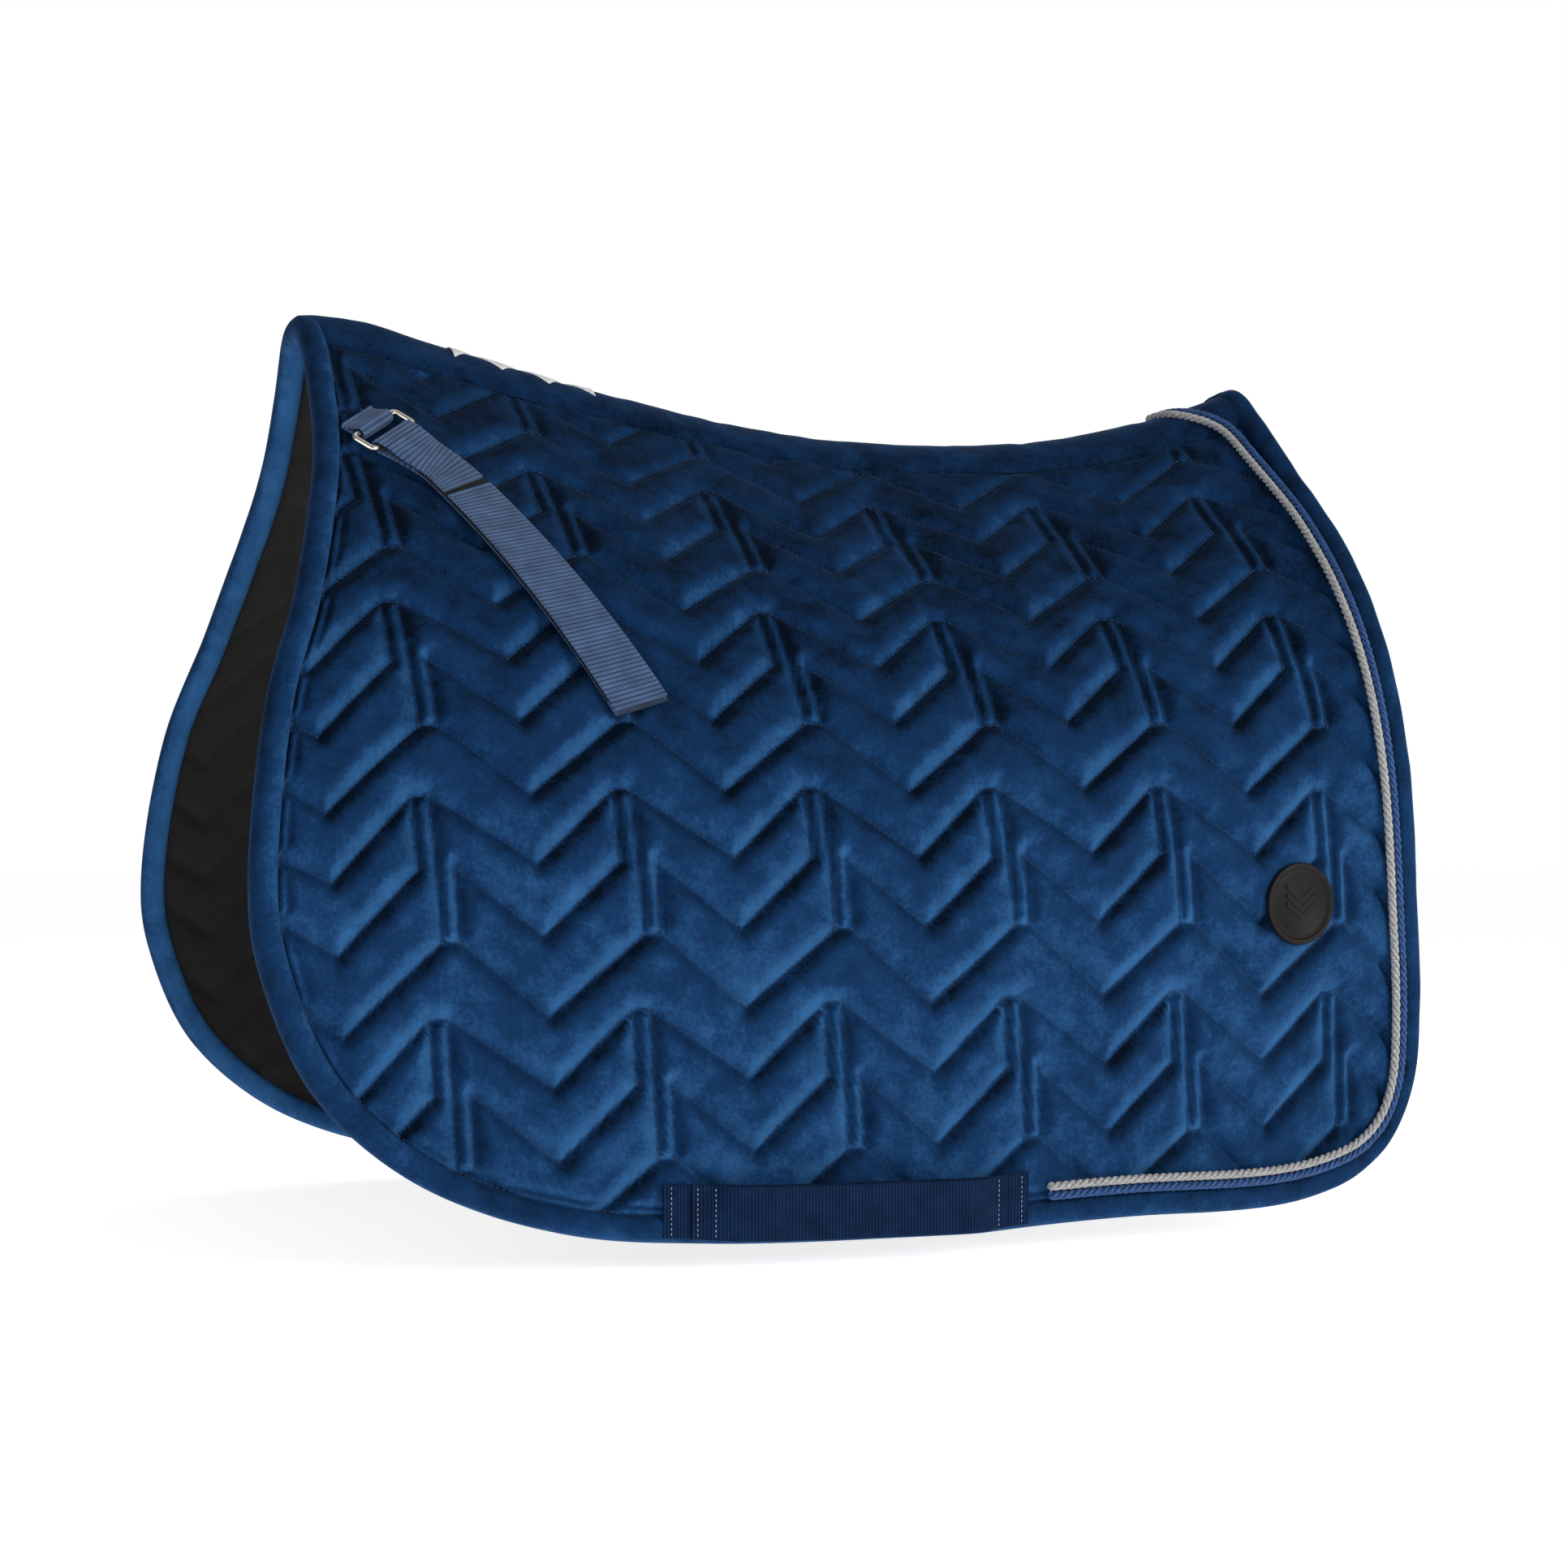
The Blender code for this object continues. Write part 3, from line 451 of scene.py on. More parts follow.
def turned_out(points: Array, faces: Array) -> Array:
    """The faces turned so that a closed shell's volume is positive."""
    a, b, c = points[faces[:, 0]], points[faces[:, 1]], points[faces[:, 2]]
    volume = np.einsum("ij,ij->", a, np.cross(b, c))
    if faces.shape[1] == 4:
        d = points[faces[:, 3]]
        volume += np.einsum("ij,ij->", a, np.cross(c, d))
    return faces if volume > 0 else faces[:, ::-1]


def split_in_valleys(faces: Array, height: Array) -> Array:
    """Three-cornered faces, each four-cornered one split along the diagonal that lies lower."""
    a, b, c, d = faces.T
    along = height[a] + height[c] <= height[b] + height[d]
    one = np.where(along[:, None], np.stack([a, b, c], 1), np.stack([a, b, d], 1))
    two = np.where(along[:, None], np.stack([a, c, d], 1), np.stack([b, c, d], 1))
    return np.concatenate([one, two])


def slab(name: str, outer: Array, inner: Array, finish: bpy.types.Material, uv: Array,
         valley: Array | None = None, **attributes: Array) -> bpy.types.Object:
    """A closed sheet between two grids of points, as (row, column, 3).

    Args:
        name: The piece's name.
        outer: Points of the outer face.
        inner: Points of the inner face.
        finish: Its material.
        uv: The grid's flat places, as (row, column, 2).
        valley: Heights of the outer face. Where given, faces are split along its valleys.
        attributes: A number for each point of the grid, by name.

    Returns:
        The object.
    """
    rows, columns = outer.shape[:2]
    count = rows * columns
    faces = [grid_faces(rows, columns), grid_faces(rows, columns, count)[:, ::-1]]
    index = np.arange(count).reshape(rows, columns)
    rim = np.concatenate([index[0], index[1:, -1], index[-1, -2::-1], index[-2:0:-1, 0]])
    after = np.roll(rim, -1)
    faces.append(np.stack([after, rim, rim + count, after + count], 1))
    points = np.concatenate([outer.reshape(-1, 3), inner.reshape(-1, 3)])
    quads = turned_out(points, np.concatenate(faces))
    if valley is not None:
        quads = split_in_valleys(quads, np.tile(valley.ravel(), 2))
    twice = {key: np.tile(value.ravel(), 2) for key, value in attributes.items()}
    return mesh_piece(name, points, quads, finish, np.tile(uv.reshape(-1, 2), (2, 1)), **twice)


def sweep(name: str, sections: Array, finish: bpy.types.Material, uv: Array | None = None,
          closed: bool = False, **attributes: Array) -> bpy.types.Object:
    """A bar through closed sections, with flat ends or joined into a ring. Its flat ends face inwards.

    Args:
        name: The piece's name.
        sections: Points of the sections, as (section, point, 3).
        finish: Its material.
        uv: The points' flat places, as (section, point, 2).
        closed: Whether the last section joins the first.
        attributes: A number for each point, by name.

    Returns:
        The object.
    """
    stations, around = sections.shape[:2]
    points, count = sections.reshape(-1, 3), stations * around
    if closed:
        faces = tube_faces(stations + 1, around) % count
    else:
        first, last = np.arange(around), np.arange(count - around, count)
        faces = np.concatenate([tube_faces(stations, around), end_faces(first), end_faces(last[::-1])])
    flat = None if uv is None else uv.reshape(-1, 2)
    numbers = {key: value.ravel() for key, value in attributes.items()}
    return mesh_piece(name, points, turned_out(points, faces), finish, flat, **numbers)


def polyline(name: str, lines: list[Array]) -> bpy.types.Object:
    """A mesh of edges along the lines, for a node tree to follow."""
    points = np.concatenate(lines)
    edges, first = [], 0
    for line in lines:
        number = np.arange(first, first + len(line))
        edges.append(np.stack([number[:-1], number[1:]], 1))
        first += len(line)
    mesh = bpy.data.meshes.new(name)
    mesh.from_pydata(points.tolist(), np.concatenate(edges).tolist(), [])
    obj = bpy.data.objects.new(name, mesh)
    bpy.context.scene.collection.objects.link(obj)
    return obj


# ---------------------------------------------------------------- node trees


def add_node(tree: bpy.types.NodeTree, kind: str, inputs: dict | None = None, **settings) -> bpy.types.Node:
    """Adds a node to a tree.

    Args:
        tree: A material's or a geometry's node tree.
        kind: The node's type.
        inputs: A value, or an output socket to link, for each input by name or number.
        settings: The node's own settings.

    Returns:
        The node.
    """
    node = tree.nodes.new(kind)
    for key, value in settings.items():
        setattr(node, key, value)
    for key, value in (inputs or {}).items():
        if isinstance(value, bpy.types.NodeSocket):
            tree.links.new(value, node.inputs[key])
        else:
            node.inputs[key].default_value = value
    return node


def new_tree(name: str, **sizes: float) -> tuple[bpy.types.NodeTree, bpy.types.Node]:
    """A geometry node tree with a geometry input and named inputs for its sizes.

    Args:
        name: The tree's name.
        sizes: The value of each size, by name.

    Returns:
        The tree and its Group Input node.
    """
    tree = bpy.data.node_groups.new(name, "GeometryNodeTree")
    tree.interface.new_socket("Geometry", in_out="INPUT", socket_type="NodeSocketGeometry")
    tree.interface.new_socket("Geometry", in_out="OUTPUT", socket_type="NodeSocketGeometry")
    for key, value in sizes.items():
        tree.interface.new_socket(key, in_out="INPUT", socket_type="NodeSocketFloat").default_value = value
    tree.interface.new_socket("Material", in_out="INPUT", socket_type="NodeSocketMaterial")
    return tree, tree.nodes.new("NodeGroupInput")


def close_tree(tree: bpy.types.NodeTree, start: bpy.types.Node, geometry: bpy.types.NodeSocket) -> None:
    """Ends a tree: instances made real, faces smooth, and the material set."""
    real = add_node(tree, "GeometryNodeRealizeInstances", {"Geometry": geometry})
    smooth = add_node(tree, "GeometryNodeSetShadeSmooth", {"Geometry": real.outputs[0]})
    dressed = add_node(tree, "GeometryNodeSetMaterial",
                       {"Geometry": smooth.outputs[0], "Material": start.outputs["Material"]})
    add_node(tree, "NodeGroupOutput", {0: dressed.outputs[0]})


def grown(obj: bpy.types.Object, tree: bpy.types.NodeTree, finish: bpy.types.Material, name: str,
          **sizes: float) -> bpy.types.Object:
    """Runs a tree over an object and returns the result as a plain mesh object, in its place.

    Args:
        obj: The guide, which is removed.
        tree: The geometry node tree.
        finish: The material for the tree's Material input.
        name: The new piece's name.
        sizes: Values of the tree's other inputs, by name.

    Returns:
        The new object.
    """
    modifier = obj.modifiers.new("grow", "NODES")
    modifier.node_group = tree
    values = sizes | {"Material": finish}
    for item in tree.interface.items_tree:
        if item.in_out == "INPUT" and item.name in values:
            modifier[item.identifier] = values[item.name]
    graph = bpy.context.evaluated_depsgraph_get()
    mesh = bpy.data.meshes.new_from_object(obj.evaluated_get(graph), depsgraph=graph)
    bpy.data.objects.remove(obj)
    mesh.name = name
    made = bpy.data.objects.new(name, mesh)
    bpy.context.scene.collection.objects.link(made)
    return made


def stitch_tree() -> bpy.types.NodeTree:
    """Short thread stitches, laid end to end along every edge of the guide."""
    tree, start = new_tree("sewn_stitches", Spacing=0.003, Length=0.0022, Thread=0.0006, Uneven=0.15)
    curve = add_node(tree, "GeometryNodeMeshToCurve", {"Mesh": start.outputs["Geometry"]})
    spaced = add_node(tree, "GeometryNodeResampleCurve",
                      {"Curve": curve.outputs[0], "Length": start.outputs["Spacing"]}, mode="LENGTH")
    stitch = add_node(tree, "GeometryNodeMeshUVSphere", {"Segments": 6, "Rings": 4, "Radius": 0.5})
    tangent = add_node(tree, "GeometryNodeInputTangent")
    turn = add_node(tree, "FunctionNodeAlignRotationToVector", {"Vector": tangent.outputs[0]}, axis="Z")
    low = add_node(tree, "ShaderNodeMath", {0: 1.0, 1: start.outputs["Uneven"]}, operation="SUBTRACT")
    uneven = add_node(tree, "FunctionNodeRandomValue", {"Min": low.outputs[0], "Max": 1.0, "Seed": 7},
                      data_type="FLOAT")
    long = add_node(tree, "ShaderNodeMath", {0: start.outputs["Length"], 1: uneven.outputs["Value"]},
                    operation="MULTIPLY")
    scale = add_node(tree, "ShaderNodeCombineXYZ",
                     {"X": start.outputs["Thread"], "Y": start.outputs["Thread"], "Z": long.outputs[0]})
    placed = add_node(tree, "GeometryNodeInstanceOnPoints",
                      {"Points": spaced.outputs[0], "Instance": stitch.outputs["Mesh"],
                       "Rotation": turn.outputs[0], "Scale": scale.outputs[0]})
    close_tree(tree, start, placed.outputs[0])
    return tree


def cord_tree() -> bpy.types.NodeTree:
    """Strands twisted round every line of the guide."""
    tree, start = new_tree("twisted_cord", Pitch=0.0145, Lay=0.00148, Strand=0.00127, Step=0.0013)
    strands = 3
    curve = add_node(tree, "GeometryNodeMeshToCurve", {"Mesh": start.outputs["Geometry"]})
    fine = add_node(tree, "GeometryNodeResampleCurve",
                    {"Curve": curve.outputs[0], "Length": start.outputs["Step"]}, mode="LENGTH")
    copies = add_node(tree, "GeometryNodeDuplicateElements", {"Geometry": fine.outputs[0], "Amount": strands},
                      domain="SPLINE")
    along = add_node(tree, "GeometryNodeSplineParameter")
    turns = add_node(tree, "ShaderNodeMath", {0: along.outputs["Length"], 1: start.outputs["Pitch"]},
                     operation="DIVIDE")
    share = add_node(tree, "ShaderNodeMath", {0: copies.outputs["Duplicate Index"], 1: float(strands)},
                     operation="DIVIDE")
    total = add_node(tree, "ShaderNodeMath", {0: turns.outputs[0], 1: share.outputs[0]}, operation="ADD")
    angle = add_node(tree, "ShaderNodeMath", {0: total.outputs[0], 1: 2 * math.pi}, operation="MULTIPLY")
    normal, tangent = add_node(tree, "GeometryNodeInputNormal"), add_node(tree, "GeometryNodeInputTangent")
    side = add_node(tree, "ShaderNodeVectorMath", {0: tangent.outputs[0], 1: normal.outputs[0]},
                    operation="CROSS_PRODUCT")
    parts = []
    for wave, way in (("COSINE", normal), ("SINE", side)):
        reach = add_node(tree, "ShaderNodeMath", {0: angle.outputs[0]}, operation=wave)
        far = add_node(tree, "ShaderNodeMath", {0: reach.outputs[0], 1: start.outputs["Lay"]},
                       operation="MULTIPLY")
        parts.append(add_node(tree, "ShaderNodeVectorMath", {0: way.outputs[0], "Scale": far.outputs[0]},
                              operation="SCALE"))
    offset = add_node(tree, "ShaderNodeVectorMath", {0: parts[0].outputs[0], 1: parts[1].outputs[0]},
                      operation="ADD")
    twisted = add_node(tree, "GeometryNodeSetPosition",
                       {"Geometry": copies.outputs["Geometry"], "Offset": offset.outputs[0]})
    profile = add_node(tree, "GeometryNodeCurvePrimitiveCircle",
                       {"Resolution": 7, "Radius": start.outputs["Strand"]})
    tubes = add_node(tree, "GeometryNodeCurveToMesh",
                     {"Curve": twisted.outputs[0], "Profile Curve": profile.outputs["Curve"],
                      "Fill Caps": True})
    close_tree(tree, start, tubes.outputs[0])
    return tree


def rib_tree() -> bpy.types.NodeTree:
    """Raises a webbing's cross ribs. The guide holds the distance along it, and where it is ribbed."""
    tree, start = new_tree("webbing_ribs", Pitch=0.0024, Height=0.0003)
    along = add_node(tree, "GeometryNodeInputNamedAttribute", {"Name": "along"}, data_type="FLOAT")
    where = add_node(tree, "GeometryNodeInputNamedAttribute", {"Name": "ribbed"}, data_type="FLOAT")
    turns = add_node(tree, "ShaderNodeMath", {0: along.outputs["Attribute"], 1: start.outputs["Pitch"]},
                     operation="DIVIDE")
    angle = add_node(tree, "ShaderNodeMath", {0: turns.outputs[0], 1: math.pi}, operation="MULTIPLY")
    wave = add_node(tree, "ShaderNodeMath", {0: angle.outputs[0]}, operation="SINE")
    rib = add_node(tree, "ShaderNodeMath", {0: wave.outputs[0]}, operation="ABSOLUTE")
    low = add_node(tree, "ShaderNodeMath", {0: rib.outputs[0], 1: 1.0}, operation="SUBTRACT")
    high = add_node(tree, "ShaderNodeMath", {0: low.outputs[0], 1: start.outputs["Height"]},
                    operation="MULTIPLY")
    masked = add_node(tree, "ShaderNodeMath", {0: high.outputs[0], 1: where.outputs["Attribute"]},
                      operation="MULTIPLY")
    normal = add_node(tree, "GeometryNodeInputNormal")
    offset = add_node(tree, "ShaderNodeVectorMath", {0: normal.outputs[0], "Scale": masked.outputs[0]},
                      operation="SCALE")
    ribbed = add_node(tree, "GeometryNodeSetPosition",
                      {"Geometry": start.outputs["Geometry"], "Offset": offset.outputs[0]})
    close_tree(tree, start, ribbed.outputs[0])
    return tree


# ---------------------------------------------------------------- finishes


def linear(hex_colour: str) -> tuple[float, float, float, float]:
    """An sRGB hex colour as linear values."""
    parts = [int(hex_colour[k : k + 2], 16) / 255 for k in (1, 3, 5)]
    return (*(p / 12.92 if p <= 0.04045 else ((p + 0.055) / 1.055) ** 2.4 for p in parts), 1.0)


def new_material(name: str, **values: float | tuple) -> tuple[bpy.types.Material, bpy.types.Node]:
    """A material with one Principled shader whose constants are set by socket name, with _ for a space."""
    made = bpy.data.materials.new(name)
    made.use_nodes = True
    shader = made.node_tree.nodes["Principled BSDF"]
    for key, value in values.items():
        shader.inputs[key.replace("_", " ")].default_value = value
    return made, shader


def ramp(tree: bpy.types.NodeTree, factor: bpy.types.NodeSocket,
         stops: list[tuple[float, str]]) -> bpy.types.Node:
    """A colour ramp with the given stops of place and hex colour."""
    node = add_node(tree, "ShaderNodeValToRGB", {"Fac": factor})
    elements = node.color_ramp.elements
    while len(elements) < len(stops):
        elements.new(0.5)
    for element, (place, colour) in zip(elements, stops):
        element.position = place
        element.color = linear(colour)
    return node


@dataclass(frozen=True)
class PileVelvet:
    """Cotton velvet: a short cut pile that lies down the pad, coloured dark to pale by painted shade and
    sheen.
    """

    deep: str = "#010d1d"
    body: str = "#0f3158"
    pale: str = "#2c5b8c"
    fibre: float = 0.0009
    crush: float = 0.016
    patch: float = 0.060
    sheen: float = 0.16

    def make(self, name: str) -> bpy.types.Material:
        """Builds the material. The piece gives its painted shade and sheen, by how it tilts, as a point
        attribute.
        """
        made, shader = new_material(name, Roughness=0.85, Sheen_Weight=self.sheen, Sheen_Roughness=0.35,
                                    Sheen_Tint=linear("#4f8fd8"), Specular_IOR_Level=0.06)
        tree = made.node_tree
        flat = add_node(tree, "ShaderNodeUVMap", uv_map="flat").outputs["UV"]
        # Painted shade and sheen, given by the piece for each point from how its surface tilts.
        nap = add_node(tree, "ShaderNodeAttribute", attribute_name="nap")
        marks = [add_node(tree, "ShaderNodeTexNoise",
                          {"Vector": flat, "Scale": 1 / size, "Detail": detail, "Roughness": 0.6},
                          noise_dimensions="2D")
                 for size, detail in ((self.patch, 3.0), (self.crush, 4.0), (self.fibre * 3, 2.0))]
        total = nap.outputs["Fac"]
        for mark, weight in zip(marks, (0.40, 0.52, 0.32)):
            centred = add_node(tree, "ShaderNodeMath", {0: mark.outputs["Fac"], 1: 0.5}, operation="SUBTRACT")
            total = add_node(tree, "ShaderNodeMath", {0: centred.outputs[0], 1: weight, 2: total},
                             operation="MULTIPLY_ADD").outputs[0]
        # Base colour: the painted shade and sheen plus random patches and crush marks, from deep to pale.
        tint = ramp(tree, total, [(0.0, self.deep), (0.5, self.body), (1.0, self.pale)])
        tree.links.new(tint.outputs["Color"], shader.inputs["Base Color"])
        pile = add_node(tree, "ShaderNodeTexNoise", {"Vector": flat, "Scale": 1 / self.fibre, "Detail": 2.0},
                        noise_dimensions="2D")
        bump = add_node(tree, "ShaderNodeBump", {"Strength": 0.35, "Distance": 0.0006,
                                                 "Height": pile.outputs["Fac"]})
        tree.links.new(bump.outputs["Normal"], shader.inputs["Normal"])
        return made


@dataclass(frozen=True)
class WovenCloth:
    """A plain woven cloth or tape: two sets of threads that cross, at a real thread spacing."""

    dark: str
    light: str
    thread: float = 0.0008
    roughness: float = 0.85
    sheen: float = 0.1
    bump: float = 0.3
    rib: float = 0.0
    gloss: float = 0.25

    def make(self, name: str) -> bpy.types.Material:
        """Builds the material on the piece's own flat map. Between ribs the webbing is darker with painted
        shade.
        """
        made, shader = new_material(name, Roughness=self.roughness, Sheen_Weight=self.sheen,
                                    Specular_IOR_Level=self.gloss)
        tree = made.node_tree
        flat = add_node(tree, "ShaderNodeUVMap", uv_map="flat").outputs["UV"]
        bands = {"Vector": flat, "Scale": 0.314 / self.thread, "Distortion": 1.0, "Detail": 1.0}
        threads = [add_node(tree, "ShaderNodeTexWave", bands, bands_direction=way) for way in ("X", "Y")]
        weave = add_node(tree, "ShaderNodeMath", {0: threads[0].outputs["Fac"], 1: threads[1].outputs["Fac"]},
                         operation="MULTIPLY")
        fuzz = add_node(tree, "ShaderNodeTexNoise", {"Vector": flat, "Scale": 70.0, "Detail": 6.0})
        mixed = add_node(tree, "ShaderNodeMath", {0: weave.outputs[0], 1: 0.45, 2: fuzz.outputs["Fac"]},
                         operation="MULTIPLY_ADD")
        tint = ramp(tree, mixed.outputs[0], [(0.25, self.dark), (0.95, self.light)])
        colour = tint.outputs["Color"]
        if self.rib:
            # Painted shade: darkens the webbing in the valleys between its raised ribs.
            along = add_node(tree, "ShaderNodeSeparateXYZ", {"Vector": flat}).outputs["X"]
            turn = add_node(tree, "ShaderNodeMath", {0: along, 1: math.pi / self.rib}, operation="MULTIPLY")
            wave = add_node(tree, "ShaderNodeMath", {0: turn.outputs[0]}, operation="SINE")
            height = add_node(tree, "ShaderNodeMath", {0: wave.outputs[0]}, operation="ABSOLUTE")
            shade = add_node(tree, "ShaderNodeMapRange", {"Value": height.outputs[0], "From Min": 0.1,
                                                          "From Max": 0.75, "To Min": 0.22, "To Max": 1.0})
            painted_rib_shade = add_node(tree, "ShaderNodeMix", {0: shade.outputs["Result"], 6: (0, 0, 0, 1), 7: colour},
                             data_type="RGBA")
            colour = painted_rib_shade.outputs[2]
        tree.links.new(colour, shader.inputs["Base Color"])
        bump = add_node(tree, "ShaderNodeBump", {"Strength": self.bump, "Distance": 0.0004,
                                                 "Height": weave.outputs[0]})
        tree.links.new(bump.outputs["Normal"], shader.inputs["Normal"])
        return made


@dataclass(frozen=True)
class SpunThread:
    """Twisted or sewn thread, with the fine streaks of its fibres."""

    dark: str
    light: str
    fibre: float = 0.0012
    roughness: float = 0.55
    sheen: float = 0.2

    def make(self, name: str) -> bpy.types.Material:
        """Builds the material on the object's own coordinates."""
        made, shader = new_material(name, Roughness=self.roughness, Sheen_Weight=self.sheen,
                                    Specular_IOR_Level=0.4)
        tree = made.node_tree
        place = add_node(tree, "ShaderNodeTexCoord").outputs["Object"]
        streaks = add_node(tree, "ShaderNodeTexNoise",
                           {"Vector": place, "Scale": 1 / self.fibre, "Detail": 3.0})
        tint = ramp(tree, streaks.outputs["Fac"], [(0.3, self.dark), (0.7, self.light)])
        tree.links.new(tint.outputs["Color"], shader.inputs["Base Color"])
        bump = add_node(tree, "ShaderNodeBump", {"Strength": 0.3, "Distance": 0.0003,
                                                 "Height": streaks.outputs["Fac"]})
        tree.links.new(bump.outputs["Normal"], shader.inputs["Normal"])
        return made


@dataclass(frozen=True)
class MouldedRubber:
    """Soft moulded rubber: matt, slightly warm, with a fine spark-eroded grain from its mould."""

    dark: str = "#050403"
    light: str = "#0b0908"
    grain: float = 0.0005

    def make(self, name: str) -> bpy.types.Material:
        """Builds the material on the object's own coordinates."""
        made, shader = new_material(name, Roughness=0.55, Specular_IOR_Level=0.2)
        tree = made.node_tree
        place = add_node(tree, "ShaderNodeTexCoord").outputs["Object"]
        grain = add_node(tree, "ShaderNodeTexNoise",
                         {"Vector": place, "Scale": 1 / self.grain, "Detail": 3.0})
        wear = add_node(tree, "ShaderNodeTexNoise", {"Vector": place, "Scale": 60.0, "Detail": 4.0})
        tint = ramp(tree, wear.outputs["Fac"], [(0.3, self.dark), (0.75, self.light)])
        tree.links.new(tint.outputs["Color"], shader.inputs["Base Color"])
        bump = add_node(tree, "ShaderNodeBump", {"Strength": 0.2, "Distance": 0.0002,
                                                 "Height": grain.outputs["Fac"]})
        tree.links.new(bump.outputs["Normal"], shader.inputs["Normal"])
        return made


@dataclass(frozen=True)
class NickelPlate:
    """Nickel-plated steel wire: a warm grey mirror with slight clouding in its roughness."""

    colour: str = "#d3cdc3"

    def make(self, name: str) -> bpy.types.Material:
        """Builds the material on the object's own coordinates."""
        made, shader = new_material(name, Base_Color=linear(self.colour), Metallic=1.0)
        tree = made.node_tree
        place = add_node(tree, "ShaderNodeTexCoord").outputs["Object"]
        cloud = add_node(tree, "ShaderNodeTexNoise", {"Vector": place, "Scale": 220.0, "Detail": 5.0})
        rough = add_node(tree, "ShaderNodeMapRange",
                         {"Value": cloud.outputs["Fac"], "To Min": 0.16, "To Max": 0.34})
        tree.links.new(rough.outputs["Result"], shader.inputs["Roughness"])
        return made


@dataclass
class Finishes:
    """Every finish of the pad, made once."""

    velvet: bpy.types.Material = field(init=False)
    lining: bpy.types.Material = field(init=False)
    wadding: bpy.types.Material = field(init=False)
    strap: bpy.types.Material = field(init=False)
    keeper: bpy.types.Material = field(init=False)
    hook: bpy.types.Material = field(init=False)
    silver: bpy.types.Material = field(init=False)
    blue: bpy.types.Material = field(init=False)
    thread: bpy.types.Material = field(init=False)
    pale_thread: bpy.types.Material = field(init=False)
    embroidery: bpy.types.Material = field(init=False)
    rubber: bpy.types.Material = field(init=False)
    nickel: bpy.types.Material = field(init=False)

    def __post_init__(self) -> None:
        """Builds the materials."""
        self.velvet = PileVelvet().make("cotton_velvet")
        self.lining = WovenCloth("#030203", "#110f10", 0.0011, 0.75, 0.10).make("woven_cotton_lining")
        self.wadding = WovenCloth("#b9b9b4", "#e4e4df", 0.004, 0.95).make("polyester_wadding")
        strap = WovenCloth("#2c4161", "#506d98", 0.0011, 0.75, 0.10, 0.5, rib=0.0027)
        self.strap = strap.make("woven_polyester_strap")
        keeper = WovenCloth("#071731", "#132d52", 0.0011, 0.8, 0.02, 0.5, rib=0.0020, gloss=0.06)
        self.keeper = keeper.make("woven_polyester_keeper")
        self.hook = WovenCloth("#030304", "#17171a", 0.0009, 0.9, 0.05, 0.8).make("nylon_hook_tape")
        self.silver = SpunThread("#6f7175", "#b4b4b3").make("silver_grey_rayon_cord")
        self.blue = SpunThread("#03183a", "#1d5495", sheen=0.05).make("royal_blue_rayon_cord")
        self.thread = SpunThread("#06162e", "#123562").make("navy_polyester_thread")
        self.pale_thread = SpunThread("#5f7a8c", "#9db3bd").make("grey_blue_polyester_thread")
        self.embroidery = SpunThread("#c9ccd0", "#fbfbfa", 0.0009, 0.4).make("white_rayon_thread")
        self.rubber = MouldedRubber().make("moulded_soft_rubber")
        self.nickel = NickelPlate().make("nickel_plated_steel")


# ---------------------------------------------------------------- sub-assemblies


def report(piece: bpy.types.Object) -> None:
    """Says that a piece is finished, and its number of faces."""
    log.info("%s: %d faces", piece.name, len(piece.data.polygons))


@dataclass
class Workshop:
    """What every sub-assembly works with: the drape, the pattern, the finishes and the node trees."""

    drape: Drape = field(default_factory=Drape)
    outline: Outline = field(default_factory=Outline)
    quilting: Quilting = field(default_factory=Quilting)
    finishes: Finishes = field(default_factory=Finishes)
    stitches: bpy.types.NodeTree = field(default_factory=stitch_tree)
    cords: bpy.types.NodeTree = field(default_factory=cord_tree)
    ribs: bpy.types.NodeTree = field(default_factory=rib_tree)
    bend_from: float = -0.185
    bend_to: float = -0.258

    def bend(self, piece: bpy.types.Object, side: Side) -> None:
        """Bakes the piece's transform into its mesh."""
        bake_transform(piece)

    def sew(self, name: str, lines: list[Array], finish: bpy.types.Material,
            **sizes: float) -> bpy.types.Object:
        """A row of stitches along each line of points."""
        return grown(polyline(name + "_guide", lines), self.stitches, finish, name, **sizes)

    def ribbed(self, name: str, rings: Array, along: Array, section: Array, width: float, clear: Array,
               finish: bpy.types.Material, **sizes: float) -> bpy.types.Object:
        """Webbing with raised cross ribs on its flat faces.

        Args:
            name: The piece's name.
            rings: Points of its sections, as (station, point, 3).
            along: Each station's distance along the webbing.
            section: The section that the rings follow, as points (across, height).
            width: Its width.
            clear: Whether each station is far enough from the ends to be ribbed.
            finish: Its material.
            sizes: The ribs' Pitch and Height.

        Returns:
            The piece.
        """
        uv = np.stack(np.broadcast_arrays(along[:, None], section[None, :, 0]), -1)
        flat = np.abs(section[:, 0]) < width / 2 - SELVEDGE
        plain = sweep(name + "_plain", rings, finish, uv, ribbed=(flat & clear[:, None]).astype(float),
                      along=np.broadcast_to(along[:, None], rings.shape[:2]))
        return grown(plain, self.ribs, finish, name, **sizes)


